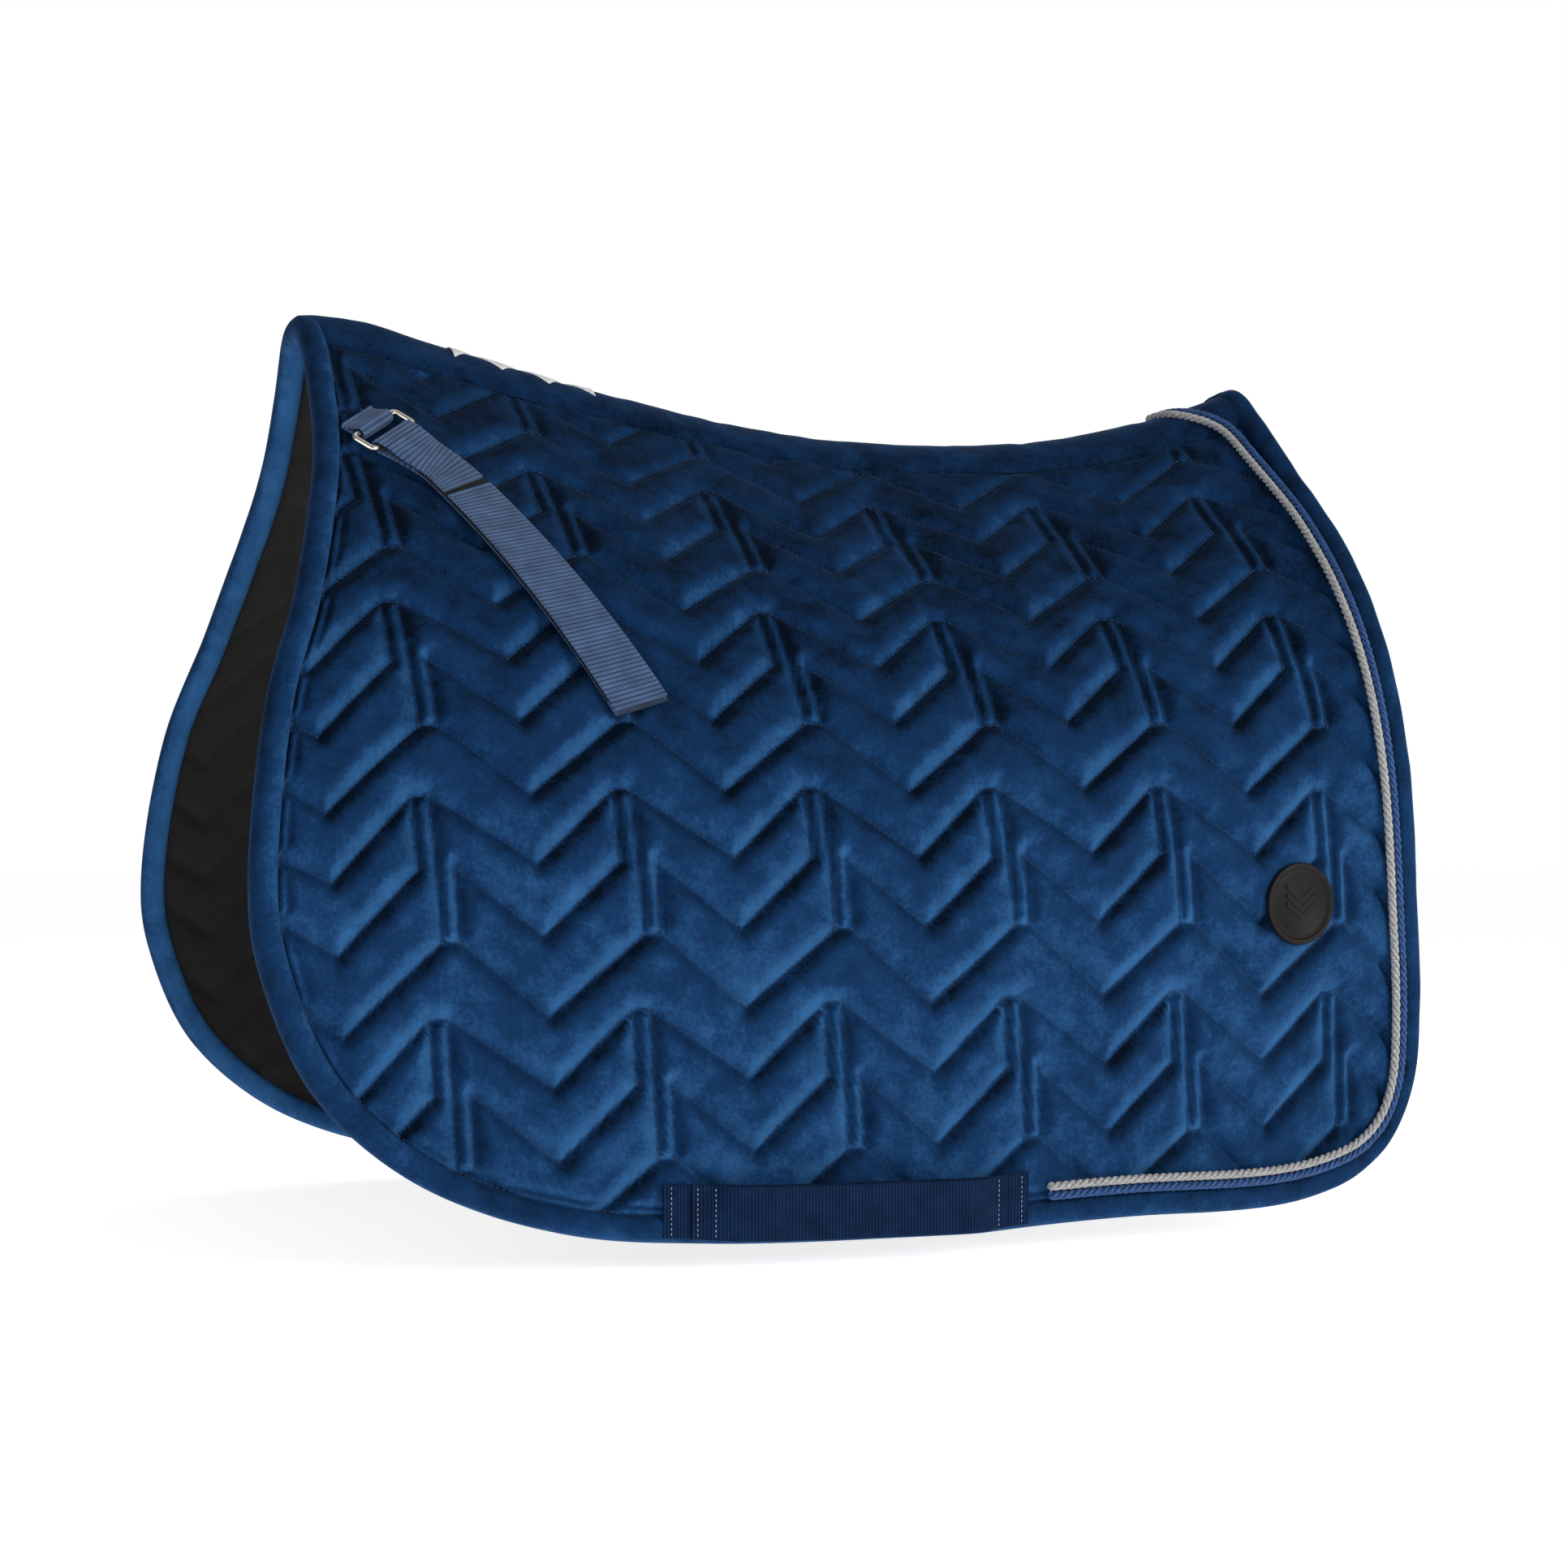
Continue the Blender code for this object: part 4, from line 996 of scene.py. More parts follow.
@dataclass
class QuiltedPanel:
    """One side of the pad: the velvet, the wadding and the lining, sewn through along the quilting."""

    shop: Workshop
    side: Side
    top: float = 0.0490
    band_edge: float = 0.0505
    tuck: float = 0.0016
    under_spine: float = 0.0004
    sewn_depth: float = 0.0064
    shoulder: float = 0.0125
    fullness: float = 3.0
    crease: float = 0.0011
    lining_depth: float = 0.0030
    edge_seam: float = 0.0150
    second_seam: float = 0.0200
    edge_depth: float = 0.0034
    second_depth: float = 0.00238
    edge_shoulder: float = 0.006
    band_shoulder: float = 0.012
    depth_down: tuple[tuple[float, ...], ...] = ((0.06, 0.14, 0.26), (0.50, 0.68, 1.0))
    slack_down: tuple[tuple[float, ...], ...] = ((0.05, 0.30, 0.45), (1.0, 0.45, 0.30))
    velvet: float = 0.0012
    stack: float = 0.0131
    lining: float = 0.0010

    def relief(self, places: Array, spread: float = 0.0) -> Array:
        """Height of the velvet's face over the smooth drape.

        Args:
            places: Places (x, s) of the pattern.
            spread: How much wider the seams are taken, for a coarse layer that must stay under the velvet.

        Returns:
            The height at each place.
        """
        away = self.shop.quilting.distance(places)
        away = np.hypot(np.maximum(away - spread, 0), self.crease) - self.crease
        edge = self.shop.outline.distance(places)
        s = places[:, 1]
        depth = self.sewn_depth * np.interp(s, *self.depth_down)
        height = -depth * (1 - eased(away, self.shoulder, self.fullness))
        for seam, sunk in ((self.edge_seam, self.edge_depth), (self.second_seam, self.second_depth)):
            height = np.minimum(height, -sunk * (1 - eased(np.abs(edge - seam), self.edge_shoulder)))
        height = np.where(edge < self.edge_seam, -self.edge_depth, height)
        height = np.minimum(height, -self.edge_depth * (1 - eased(s - self.band_edge, self.band_shoulder)))
        height = height - self.tuck * np.clip((self.band_edge + 0.0015 - s) / 0.002, 0, 1)
        slack = np.interp(s, *self.slack_down)
        inside = np.clip((edge - self.edge_seam) / 0.02, 0, 1)
        folds = 0.0011 * Grain(0.016, 3, 3.2, -42).at(places) + 0.0010 * Grain(0.045, 4, 1.4, 20).at(places)
        pucker = 0.00035 * Grain(0.0062, 5).at(places) * np.exp(-away / 0.006)
        return height + inside * (slack * folds + pucker)

    def nap(self, places: Array, out: Array) -> Array:
        """Painted shade and sheen from 0 to 1: paler where the quilting faces down and to the tail, darker
        where it faces up.

        Args:
            places: Places (x, s) of the pattern, as (row, column, 2).
            out: The way out of the smooth drape there.

        Returns:
            A value for each place, as (row, column).
        """
        flat, reach = places.reshape(-1, 2), 0.0014
        tilts = []
        for way in (np.array([reach, 0]), np.array([0, reach])):
            rise = self.relief(flat + way) - self.relief(flat - way)
            tilts.append(-(rise / (2 * reach)).reshape(places.shape[:2]))
        back, down = (tilt / np.sqrt(1 + tilts[0] ** 2 + tilts[1] ** 2) for tilt in tilts)
        return np.clip(0.54 + 0.47 * down + 0.38 * back - 0.46 * np.clip(out[..., 2], 0, 1), 0, 1)

    def sheet(self, name: str, step: float, heights: tuple[float, float], follow: tuple[float, float],
              finish: bpy.types.Material, top: float, spread: float = 0.0) -> bpy.types.Object:
        """One layer, as a closed slab that follows the quilting.

        Args:
            name: The piece's name.
            step: Size of its grid.
            heights: Its outer and inner height over the velvet's smooth face, between the seams.
            follow: How much of the relief the outer and the inner face take.
            finish: Its material.
            top: How far below the spine it starts.
            spread: How much wider its seams are taken.

        Returns:
            The piece.
        """
        grid = self.shop.outline.grid(top, step)
        relief = self.relief(grid.reshape(-1, 2), spread).reshape(grid.shape[:2])
        face, out = self.shop.drape.lay(grid[..., 0], self.side.value * grid[..., 1])
        faces = [face + (high + share * relief)[..., None] * out for high, share in zip(heights, follow)]
        # Only the velvet takes painted shade and sheen, from how its relief and drape tilt.
        pile = {"nap": self.nap(grid, out)} if finish is self.shop.finishes.velvet else {}
        return slab(name, faces[0], faces[1], finish, grid, valley=follow[0] * relief, **pile)

    def build(self) -> None:
        """Makes the three layers and hides the frame's parts that they stand for."""
        label, done = self.side.label, self.shop.finishes
        turned = -self.lining_depth / self.sewn_depth
        velvet = self.sheet(f"{label}_velvet", PANEL_STEP, (0.0, -self.velvet), (1.0, 1.0), done.velvet,
                            self.top)
        wadding = self.sheet(f"{label}_wadding", WADDING_STEP, (-self.velvet - 0.0008, -self.stack + 0.0015),
                             (0.98, turned), done.wadding, self.under_spine, WADDING_SPREAD)
        lining = self.sheet(f"{label}_lining", LINING_STEP, (-self.stack + self.lining, -self.stack),
                            (turned, turned), done.lining, self.under_spine)
        for piece, layer, fill in ((velvet, "velvet", 0.55), (wadding, "wadding", 0.5),
                                   (lining, "lining", 0.5)):
            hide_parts(f"{label}_{layer}_upper", f"{label}_{layer}_lower")
            self.shop.bend(piece, self.side)
            report(piece)

    def thread(self) -> None:
        """The quilting's stitches, down in the seams."""
        quilting, outline, lines = self.shop.quilting, self.shop.outline, []
        ends, share = quilting.seams(range(-4, 3), range(-2, 7))[:, None], np.linspace(0, 1, 12)[:, None]
        seams = quilting.from_cells(ends[:, :, 0] + share * (ends[:, :, 1] - ends[:, :, 0]))
        flat = seams.reshape(-1, 2)
        kept = (flat[:, 1] > self.top + 0.006) & (outline.distance(flat) > self.second_seam)
        kept &= inside_of(outline.curve(8), flat)
        height = self.relief(flat) + 0.0004
        for places, keep, high in zip(seams, kept.reshape(len(seams), -1), height.reshape(len(seams), -1)):
            if keep.sum() > 2:
                x, s = places[keep].T
                lines.append(self.shop.drape.place(x, self.side.value * s, high[keep]))
        name = f"{self.side.label}_quilting_thread"
        piece = self.shop.sew(name, lines, self.shop.finishes.thread, Spacing=0.0034, Length=0.0024,
                              Thread=0.0005)
        self.shop.bend(piece, self.side)
        report(piece)


def inside_of(line: Array, places: Array) -> Array:
    """Whether each place is inside the closed line: a ray from it towards +x crosses the line an odd number
    of times."""
    a, b, s = line, np.roll(line, -1, axis=0), places[:, 1:]
    spans = (a[:, 1] > s) != (b[:, 1] > s)
    rise = np.where(spans, b[:, 1] - a[:, 1], 1.0)
    at = a[:, 0] + (s - a[:, 1]) / rise * (b[:, 0] - a[:, 0])
    return (spans & (at > places[:, :1])).sum(axis=1) % 2 == 1


@dataclass
class EdgeBinding:
    """The velvet strip folded round one side's edge, plumped by what it wraps."""

    shop: Workshop
    side: Side
    width: float = 0.0155
    swell: float = 0.0030
    stack: float = 0.0131
    wall: float = 0.0011
    step: float = 0.0032

    def section(self) -> Array:
        """The strip's section as points (inset, height): the outside round the edge, then the inside back."""
        w, up, down = self.width, self.swell, -self.stack - self.swell
        mid = (up + down) / 2
        turn = np.linspace(0, math.pi, 15)
        round_in, round_up = 0.0062, (up - down) / 2
        nose = [(round_in - round_in * math.sin(t), mid + round_up * math.cos(t)) for t in turn]
        outside = [(w, -0.0022), (w - 0.0006, 0.0002), (w - 0.0024, up * 0.72), (w - 0.0052, up)] + nose
        outside += [(w - 0.0052, down), (w - 0.0024, down + up * 0.28), (w - 0.0006, -self.stack - 0.0002),
                    (w, -self.stack + 0.0022)]
        points = np.array(outside)
        along = unit(np.gradient(points, axis=0))
        inward = np.stack([-along[:, 1], along[:, 0]], 1)
        return np.vstack([points, (points + self.wall * inward)[::-1]])

    def build(self) -> None:
        """Sweeps the section round the edge and sews it down."""
        edge = evenly(self.shop.outline.curve(), self.step)
        edge[0, 1] = edge[-1, 1] = ON_SPINE
        section, length, mid = self.section(), travelled(edge), -self.stack / 2
        slack = Grain(0.020, 11).at(np.stack([length, 0 * length], 1))
        fine = Grain(0.0065, 12).at(np.stack([length, 0 * length], 1))
        sections = []
        for inset, height in section:
            places = inset_of(edge, inset)
            places[:, 1] = np.maximum(places[:, 1], ON_SPINE)
            puff = 1 + 0.10 * slack + 0.05 * fine * (inset > 0.008)
            lifted = mid + (height - mid) * puff
            sections.append(self.shop.drape.place(places[:, 0], self.side.value * places[:, 1], lifted))
        rings = np.stack(sections, 1)
        uv = np.stack(np.broadcast_arrays(length[:, None], travelled(section)[None, :]), -1)
        label = self.side.label
        # The binding's colour carries painted shade and sheen from the way each point faces.
        piece = sweep(f"{label}_binding", rings, self.shop.finishes.velvet, uv, nap=self.nap(rings))
        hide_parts(*(f"{label}_binding_{part}" for part in ("front", "lower", "rear")))
        self.shop.bend(piece, self.side)
        report(piece)
        self.seam(edge)

    def nap(self, rings: Array) -> Array:
        """Painted shade and sheen on the binding: darker where it faces out, up and to the head, paler facing
        down and to the tail.
        """
        out = unit(rings - rings.mean(1, keepdims=True))
        facing = self.side.value * -out[..., 1]
        return np.clip(0.62 - 0.20 * facing - 0.22 * out[..., 2] + 0.32 * out[..., 0], 0, 1)

    def seam(self, edge: Array) -> None:
        """The row of stitches that holds the binding, just inside its lip."""
        places = inset_of(edge, self.width + 0.0008)
        places = places[places[:, 1] > 0.004]
        line = self.shop.drape.place(places[:, 0], self.side.value * places[:, 1], -0.0030)
        name = f"{self.side.label}_binding_thread"
        piece = self.shop.sew(name, [line], self.shop.finishes.thread, Spacing=0.0036, Length=0.0028,
                              Thread=0.0008)
        self.shop.bend(piece, self.side)


@dataclass
class CordTrim:
    """The silver cord and the blue one outside it, sewn on beside the binding at the back of the pad."""

    shop: Workshop
    side: Side
    diameter: float = 0.0052
    clear: float = 0.0009
    inset: float = 0.0237
    on_spine: float = 0.230
    joins_edge: float = 0.150
    end_x: float = 0.031

    def route(self) -> Array:
        """Places of the silver cord: over the spine, back to the edge, down it and forward to the keeper."""
        edge = inset_of(smooth_curve(self.shop.outline.points, 4), self.inset)[::-1]
        edge = edge[np.argmax(edge[:, 1] > self.joins_edge) :]
        edge = edge[: np.argmax(edge[:, 0] < self.end_x)]
        over = [(self.on_spine, 0.006), (self.on_spine + 0.008, 0.022), (self.on_spine + 0.026, 0.052)]
        over += [(edge[0, 0] - 0.006, 0.095), tuple(edge[0]), tuple(edge[1])]
        return np.vstack([[(self.on_spine, 0.00015)], smooth_curve(over, 4)[:-5], edge])

    def build(self) -> None:
        """Lays both cords and twists their strands."""
        silver = self.route()
        blue = inset_of(silver, self.diameter + GAP)
        blue[0, 1] = 0.00015
        for colour, route, finish in (("silver", silver, self.shop.finishes.silver),
                                      ("blue", blue, self.shop.finishes.blue)):
            fine = evenly(smooth_curve(route, 3), 0.003)
            middle = self.clear + self.diameter / 2
            line = self.shop.drape.place(fine[:, 0], self.side.value * fine[:, 1], middle)
            name = f"{self.side.label}_{colour}_cord"
            piece = grown(polyline(name + "_guide", [line]), self.shop.cords, finish, name,
                          Pitch=0.0145 * -self.side.value)
            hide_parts(f"{name}_upper", f"{name}_lower")
            self.shop.bend(piece, self.side)
            log.info("%s: %.3f m long", piece.name, travelled(line)[-1])
            report(piece)


@dataclass
class GirthKeeper:
    """The base tape sewn along the hem, and the slack tape over it that the girth slips under."""

    shop: Workshop
    side: Side
    base: tuple[float, float] = (-0.198, 0.025)
    tunnel: tuple[float, float] = (-0.182, 0.010)
    inset: float = 0.0185
    width: float = 0.030
    tape: float = 0.0014
    seat: float = 0.0024
    rise: float = 0.008
    sewn: float = 0.14
    rib: float = 0.0020
    step: float = 0.0005

    def hem(self, ends: tuple[float, float], across: float, count: int) -> Array:
        """Places along the hem at a distance across the tape, between two ends along the horse."""
        edge = self.shop.outline.inset(self.inset + across)
        first, last = self.shop.outline.front_corner, self.shop.outline.rear_corner
        edge = edge[first * self.shop.outline.steps : last * self.shop.outline.steps]
        x = np.linspace(*ends, count)
        return np.stack([x, np.interp(x, edge[:, 0], edge[:, 1])], 1)

    def strip(self, name: str, ends: tuple[float, float], lift: Array) -> bpy.types.Object:
        """A ribbed tape along the hem whose underside is at the heights in lift, one for each station."""
        section = tape_section(self.width, self.tape)
        sections = []
        for across, height in section:
            places = self.hem(ends, across, len(lift))
            at = lift + self.tape / 2 + height
            sections.append(self.shop.drape.place(places[:, 0], self.side.value * places[:, 1], at))
        number = np.arange(len(lift))
        return self.shop.ribbed(name, np.stack(sections, 1), np.linspace(*ends, len(lift)), section,
                                self.width, np.minimum(number, number[::-1]) > 1,
                                self.shop.finishes.keeper, Pitch=self.rib, Height=0.00035)

    def build(self) -> None:
        """Makes both tapes and the rows of stitches that hold their ends."""
        label = self.side.label
        count, tunnel_count = (round((ends[1] - ends[0]) / self.step) for ends in (self.base, self.tunnel))
        low = self.strip(f"{label}_keeper_base_webbing", self.base, np.full(count, self.seat))
        part = np.linspace(0, 1, tunnel_count)
        ramp_up = np.clip(np.minimum(part, 1 - part) / self.sewn, 0, 1)
        lift = self.seat + self.tape + GAP + self.rise * ramp_up**2 * (3 - 2 * ramp_up)
        high = self.strip(f"{label}_keeper_tunnel_webbing", self.tunnel, lift)
        for piece, node in ((low, "keeper_base"), (high, "keeper_tunnel")):
            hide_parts(f"{label}_{node}")
            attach(piece, f"{label}_flap")
            report(piece)
        self.stitching(lift)

    def stitching(self, lift: Array) -> None:
        """Upright rows of pale stitches near both ends of both tapes."""
        lines = []
        across = np.linspace(-self.width / 2 + 0.0025, self.width / 2 - 0.0025, 9)
        tunnel = self.tunnel
        face = self.seat + self.tape
        rows = [(self.base[0] + 0.0045, face), (self.base[1] - 0.0045, face)]
        for x in (tunnel[0] + 0.0030, tunnel[0] + 0.0125, tunnel[1] - 0.0055):
            share = (x - tunnel[0]) / (tunnel[1] - tunnel[0])
            rows.append((x, float(np.interp(share, np.linspace(0, 1, len(lift)), lift)) + self.tape))
        for x, height in rows:
            places = np.stack([self.hem((x, x + 0.001), a, 2)[0] for a in across])
            lines.append(self.shop.drape.place(places[:, 0], self.side.value * places[:, 1], height + 0.0002))
        name = f"{self.side.label}_keeper_thread"
        piece = self.shop.sew(name, lines, self.shop.finishes.pale_thread, Spacing=0.0026, Length=0.0018,
                              Thread=0.0006)
        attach(piece, f"{self.side.label}_flap")


def tape_section(width: float, thick: float) -> Array:
    """A tape's section with round selvedges, as points (across, height) round it."""
    half, r = width / 2, thick / 2
    flat = np.linspace(-half + r, half - r, 15)
    turn = np.linspace(0, math.pi, 6)[1:-1]
    right = [(half - r + r * math.sin(t), r * math.cos(t)) for t in turn]
    left = [(-half + r - r * math.sin(t), -r * math.cos(t)) for t in turn]
    return np.array([(a, r) for a in flat] + right + [(a, -r) for a in flat[::-1]] + left)


@dataclass
class RubberBadge:
    """The round moulded badge: a raised rim round a flat face with nested chevrons."""

    shop: Workshop
    side: Side
    at: tuple[float, float] = (0.213, 0.425)
    radius: float = 0.025
    thick: float = 0.0032
    rim: float = 0.0035
    sink: float = 0.0009
    sides: int = 96
    chevron: tuple[float, float, float] = (0.0105, -0.0050, 0.0032)
    chevron_pitch: float = 0.0052

    def frame(self) -> tuple[Array, Array, Array, Array]:
        """The badge's place and its unit ways along the horse, down the pad and outwards."""
        x, s = self.at[0], self.side.value * self.at[1]
        step = 0.001
        here = self.shop.drape.place(x, s, 0.0)
        down = self.shop.drape.place(x, s + math.copysign(step, s), 0.0) - here
        along = self.shop.drape.place(x + step, s, 0.0) - here
        down = unit(down)
        along = unit(along - down * (along @ down))
        out = np.cross(along, down)
        out *= np.sign(out @ (self.shop.drape.place(x, s, step) - here))
        return here, along, down, out

    def build(self) -> None:
        """Turns the disc and lays the chevrons on it."""
        here, along, down, out = self.frame()
        label, finish = self.side.label, self.shop.finishes.rubber
        face, edge = self.thick - self.sink, self.radius - self.rim
        profile = [(0.0, 0.0), (self.radius - 0.0006, 0.0), (self.radius, 0.0006),
                   (self.radius, self.thick - 0.0014), (self.radius - 0.0004, self.thick - 0.0004),
                   (self.radius - 0.0012, self.thick), (edge + 0.0008, self.thick),
                   (edge + 0.0002, self.thick - 0.0003), (edge - 0.0003, face)]
        profile += [(edge - 0.0016, face), (edge - 0.0020, face + 0.0003), (edge - 0.0026, face + 0.0003),
                    (edge - 0.0030, face), (0.0, face)]
        turns = np.linspace(0, 2 * math.pi, self.sides, endpoint=False)
        spokes = np.cos(turns)[:, None] * along + np.sin(turns)[:, None] * down
        points = np.concatenate([here + (GAP + height) * out + radius * spokes for radius, height in profile])
        faces = tube_faces(len(profile), self.sides)
        disc = mesh_piece(f"{label}_badge_disc", points, turned_out(points, faces), finish)
        merge(disc)
        sharpen(disc, 40)
        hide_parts(f"{label}_badge")
        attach(disc, f"{label}_flap")
        reach, foot, tip = self.chevron
        for k in range(3):
            drop = self.chevron_pitch * (k - 1)
            arms = [(-reach, foot + drop), (0.0, tip + drop), (reach, foot + drop)]
            rings = self.bar(arms, here + (GAP + face) * out, along, down, out)
            piece = sweep(f"{label}_badge_chevron_{k + 1}", rings, finish)
            sharpen(piece, 40)
            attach(piece, f"{label}_flap")
        log.info("%s and its chevrons", disc.name)

    def bar(self, arms: list[tuple[float, float]], centre: Array, along: Array, down: Array,
            out: Array) -> Array:
        """Sections of a flat bar with a mitred bend, as (section, point, 3)."""
        half, high, low = 0.0011, 0.0004, -0.0002
        reach, foot, tip = self.chevron
        mitre = half / math.cos(math.atan2(tip - foot, reach))
        rings = []
        for a, b in arms:
            spots = [(a, b - mitre, low), (a, b - mitre, high), (a, b + mitre, high), (a, b + mitre, low)]
            rings.append([centre + u * along + v * down + w * out for u, v, w in spots])
        return np.array(rings)


def merge(piece: bpy.types.Object) -> None:
    """Merges doubled points and removes faces that shrank to nothing."""
    bm = bmesh.new()
    bm.from_mesh(piece.data)
    bmesh.ops.remove_doubles(bm, verts=bm.verts[:], dist=1e-6)
    bmesh.ops.dissolve_degenerate(bm, edges=bm.edges[:], dist=1e-7)
    bm.to_mesh(piece.data)
    bm.free()


def sharpen(piece: bpy.types.Object, degrees: float) -> None:
    """Keeps edges sharper than the angle crisp under smooth shading."""
    piece.data.set_sharp_from_angle(angle=math.radians(degrees))


@dataclass
class BilletStrap:
    """The billet strap of one side: anchor loop, ring, strap, hook tape, short tail and long top layer."""

    shop: Workshop
    side: Side
    route_points: tuple[tuple[float, float], ...] = (
        (-0.3490, 0.1165), (-0.323, 0.140), (-0.281, 0.178), (-0.200, 0.332))
    width: float = 0.034
    webbing: float = 0.0016
    seat: float = 0.0006
    anchor_width: float = 0.030
    anchor_from: float = -0.0195
    sewn_flat: float = 0.004
    bar_spacing: float = 0.014
    bar_radius: float = 0.002
    bar_clear: float = 0.0006
    bar_lip: float = 0.0004
    leaves_bar: float = 0.014
    ring_inside: float = 0.038
    ring_corner: float = 0.003
    ring_holds: float = 0.020
    tail: tuple[float, float] = (0.0125, 0.057)
    tail_lands: tuple[tuple[float, float], ...] = ((0.020, 0.0010), (0.028, 0.0), (0.043, 0.0))
    top: tuple[float, float] = (0.062, 0.2285)
    base_to: float = 0.2305
    hook: tuple[float, float] = (0.030, 0.222)
    hook_thick: float = 0.0008
    hook_width: float = 0.0352
    rib: float = 0.0027
    steps: int = 16
    reach: float = 0.004
    aside: float = 0.002

    def __post_init__(self) -> None:
        """Lays out the route and the heights of the layers."""
        self.route = smooth_curve(self.route_points, self.steps)
        self.length = travelled(self.route)
        self.length -= self.length[self.steps]
        self.ring_height = self.seat + self.webbing + self.bar_clear + self.bar_radius
        self.low = self.seat + self.webbing / 2
        self.high = self.seat + self.webbing + self.hook_thick + 2 * GAP + self.webbing / 2
        self.lip = self.ring_height + self.bar_radius + self.bar_clear + self.webbing / 2 - self.bar_lip

    def route_at(self, l: Array) -> tuple[Array, Array]:
        """Places on the route and the unit way ahead there."""
        places = []
        for at in (l, l + self.reach, l - self.reach):
            inside = np.clip(at, self.length[0], self.length[-1])
            places.append(np.stack([np.interp(inside, self.length, self.route[:, k]) for k in range(2)], -1))
        way = unit(places[1] - places[2])
        past = l - np.clip(l, self.length[0], self.length[-1])
        return places[0] + past[..., None] * way, way

    def spot(self, l: Array, across: Array, height: Array) -> Array:
        """Points at a distance along the strap, a distance across it and a height over the velvet."""
        l, across, height = np.broadcast_arrays(*(np.asarray(v, float) for v in (l, across, height)))
        at, _ = self.route_at(l)
        held, way = self.route_at(l - np.clip(l, -self.ring_holds, self.ring_holds))
        aside = held + self.aside * np.stack([way[..., 1], -way[..., 0]], -1)
        drape, sign = self.shop.drape, self.side.value
        level = unit(drape.place(aside[..., 0], sign * aside[..., 1], height)
                     - drape.place(held[..., 0], sign * held[..., 1], height))
        return drape.place(at[..., 0], sign * at[..., 1], height) + across[..., None] * level

    def ribbon(self, name: str, middle: list[tuple[float, float]], width: float, thick: float,
               finish: bpy.types.Material, ribbed: bool = True) -> bpy.types.Object:
        """A strip of webbing whose middle line is the list of (l, height), with raised cross ribs."""
        line = evenly(smooth_curve(np.array(middle), 6), 0.0004 if ribbed else 0.0015)
        along = unit(np.gradient(line, axis=0))
        normal = np.stack([-along[:, 1], along[:, 0]], 1)
        section, length = tape_section(width, thick), travelled(line)
        spots = line[:, None] + section[None, :, 1:] * normal[:, None]
        rings = self.spot(spots[..., 0], section[None, :, 0], spots[..., 1])
        if not ribbed:
            uv = np.stack(np.broadcast_arrays(length[:, None], section[None, :, 0]), -1)
            return sweep(name, rings, finish, uv)
        clear = np.minimum(length, length[-1] - length) > 0.0008
        return self.shop.ribbed(name, rings, length, section, width, clear, finish, Pitch=self.rib,
                                Height=0.00032)

    def turn(self, l: float, start: float, end: float, steps: int = 14) -> list[tuple[float, float]]:
        """Points (l, height) of webbing that wraps the ring's bar at l, from one angle to another."""
        radius = self.bar_radius + self.bar_clear + self.webbing / 2
        angles = np.radians(np.linspace(start, end, steps))
        return [(l + radius * math.cos(t), self.ring_height + radius * math.sin(t)) for t in angles]

    def layers(self) -> dict[str, list[tuple[float, float]]]:
        """The middle line of each strip of webbing, by its node's name."""
        bar, seat = self.bar_spacing / 2, self.low
        sewn = self.anchor_from + self.sewn_flat
        anchor_top = seat + self.webbing + GAP
        anchor = [(self.anchor_from, anchor_top), (sewn, anchor_top)] + self.turn(-bar, 100, -90)
        anchor += [(sewn, seat), (self.anchor_from, seat)]
        base = [(self.base_to, seat + 0.0012), (self.base_to - 0.0006, seat + 0.0004)]
        base += [(l, seat) for l in np.linspace(self.base_to - 0.002, self.leaves_bar, 15)]
        base += self.turn(bar, 270, 80) + [(self.tail[0] - GAP, self.lip)]
        tail = [(self.tail[0], self.lip)] + [(l, self.high + rise) for l, rise in self.tail_lands]
        tail += [(self.tail[1], self.high)]
        top = [(l, self.high) for l in np.linspace(*self.top, 12)]
        return {"strap_anchor": anchor, "strap_base": base, "strap_tail": tail, "strap_top": top}

    def build(self) -> None:
        """Makes the webbing, the hook tape, the ring and the stitching."""
        label, done = self.side.label, self.shop.finishes
        bodies = {"strap_anchor": "root", "strap_base": f"{label}_strap", "strap_tail": f"{label}_tail",
                  "strap_top": f"{label}_strap_top"}
        for node, middle in self.layers().items():
            width = self.anchor_width if node == "strap_anchor" else self.width
            piece = self.ribbon(f"{label}_{node}_webbing", middle, width, self.webbing, done.strap)
            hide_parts(f"{label}_{node}")
            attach(piece, bodies[node])
            report(piece)
        hook_height = self.seat + self.webbing + GAP + self.hook_thick / 2
        hooks = [(l, hook_height) for l in np.linspace(*self.hook, 14)]
        tape = self.ribbon(f"{label}_hook_tape_nylon", hooks, self.hook_width, self.hook_thick, done.hook,
                           ribbed=False)
        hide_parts(f"{label}_strap_hook_tape")
        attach(tape, f"{label}_strap")
        self.ring()
        self.stitching()

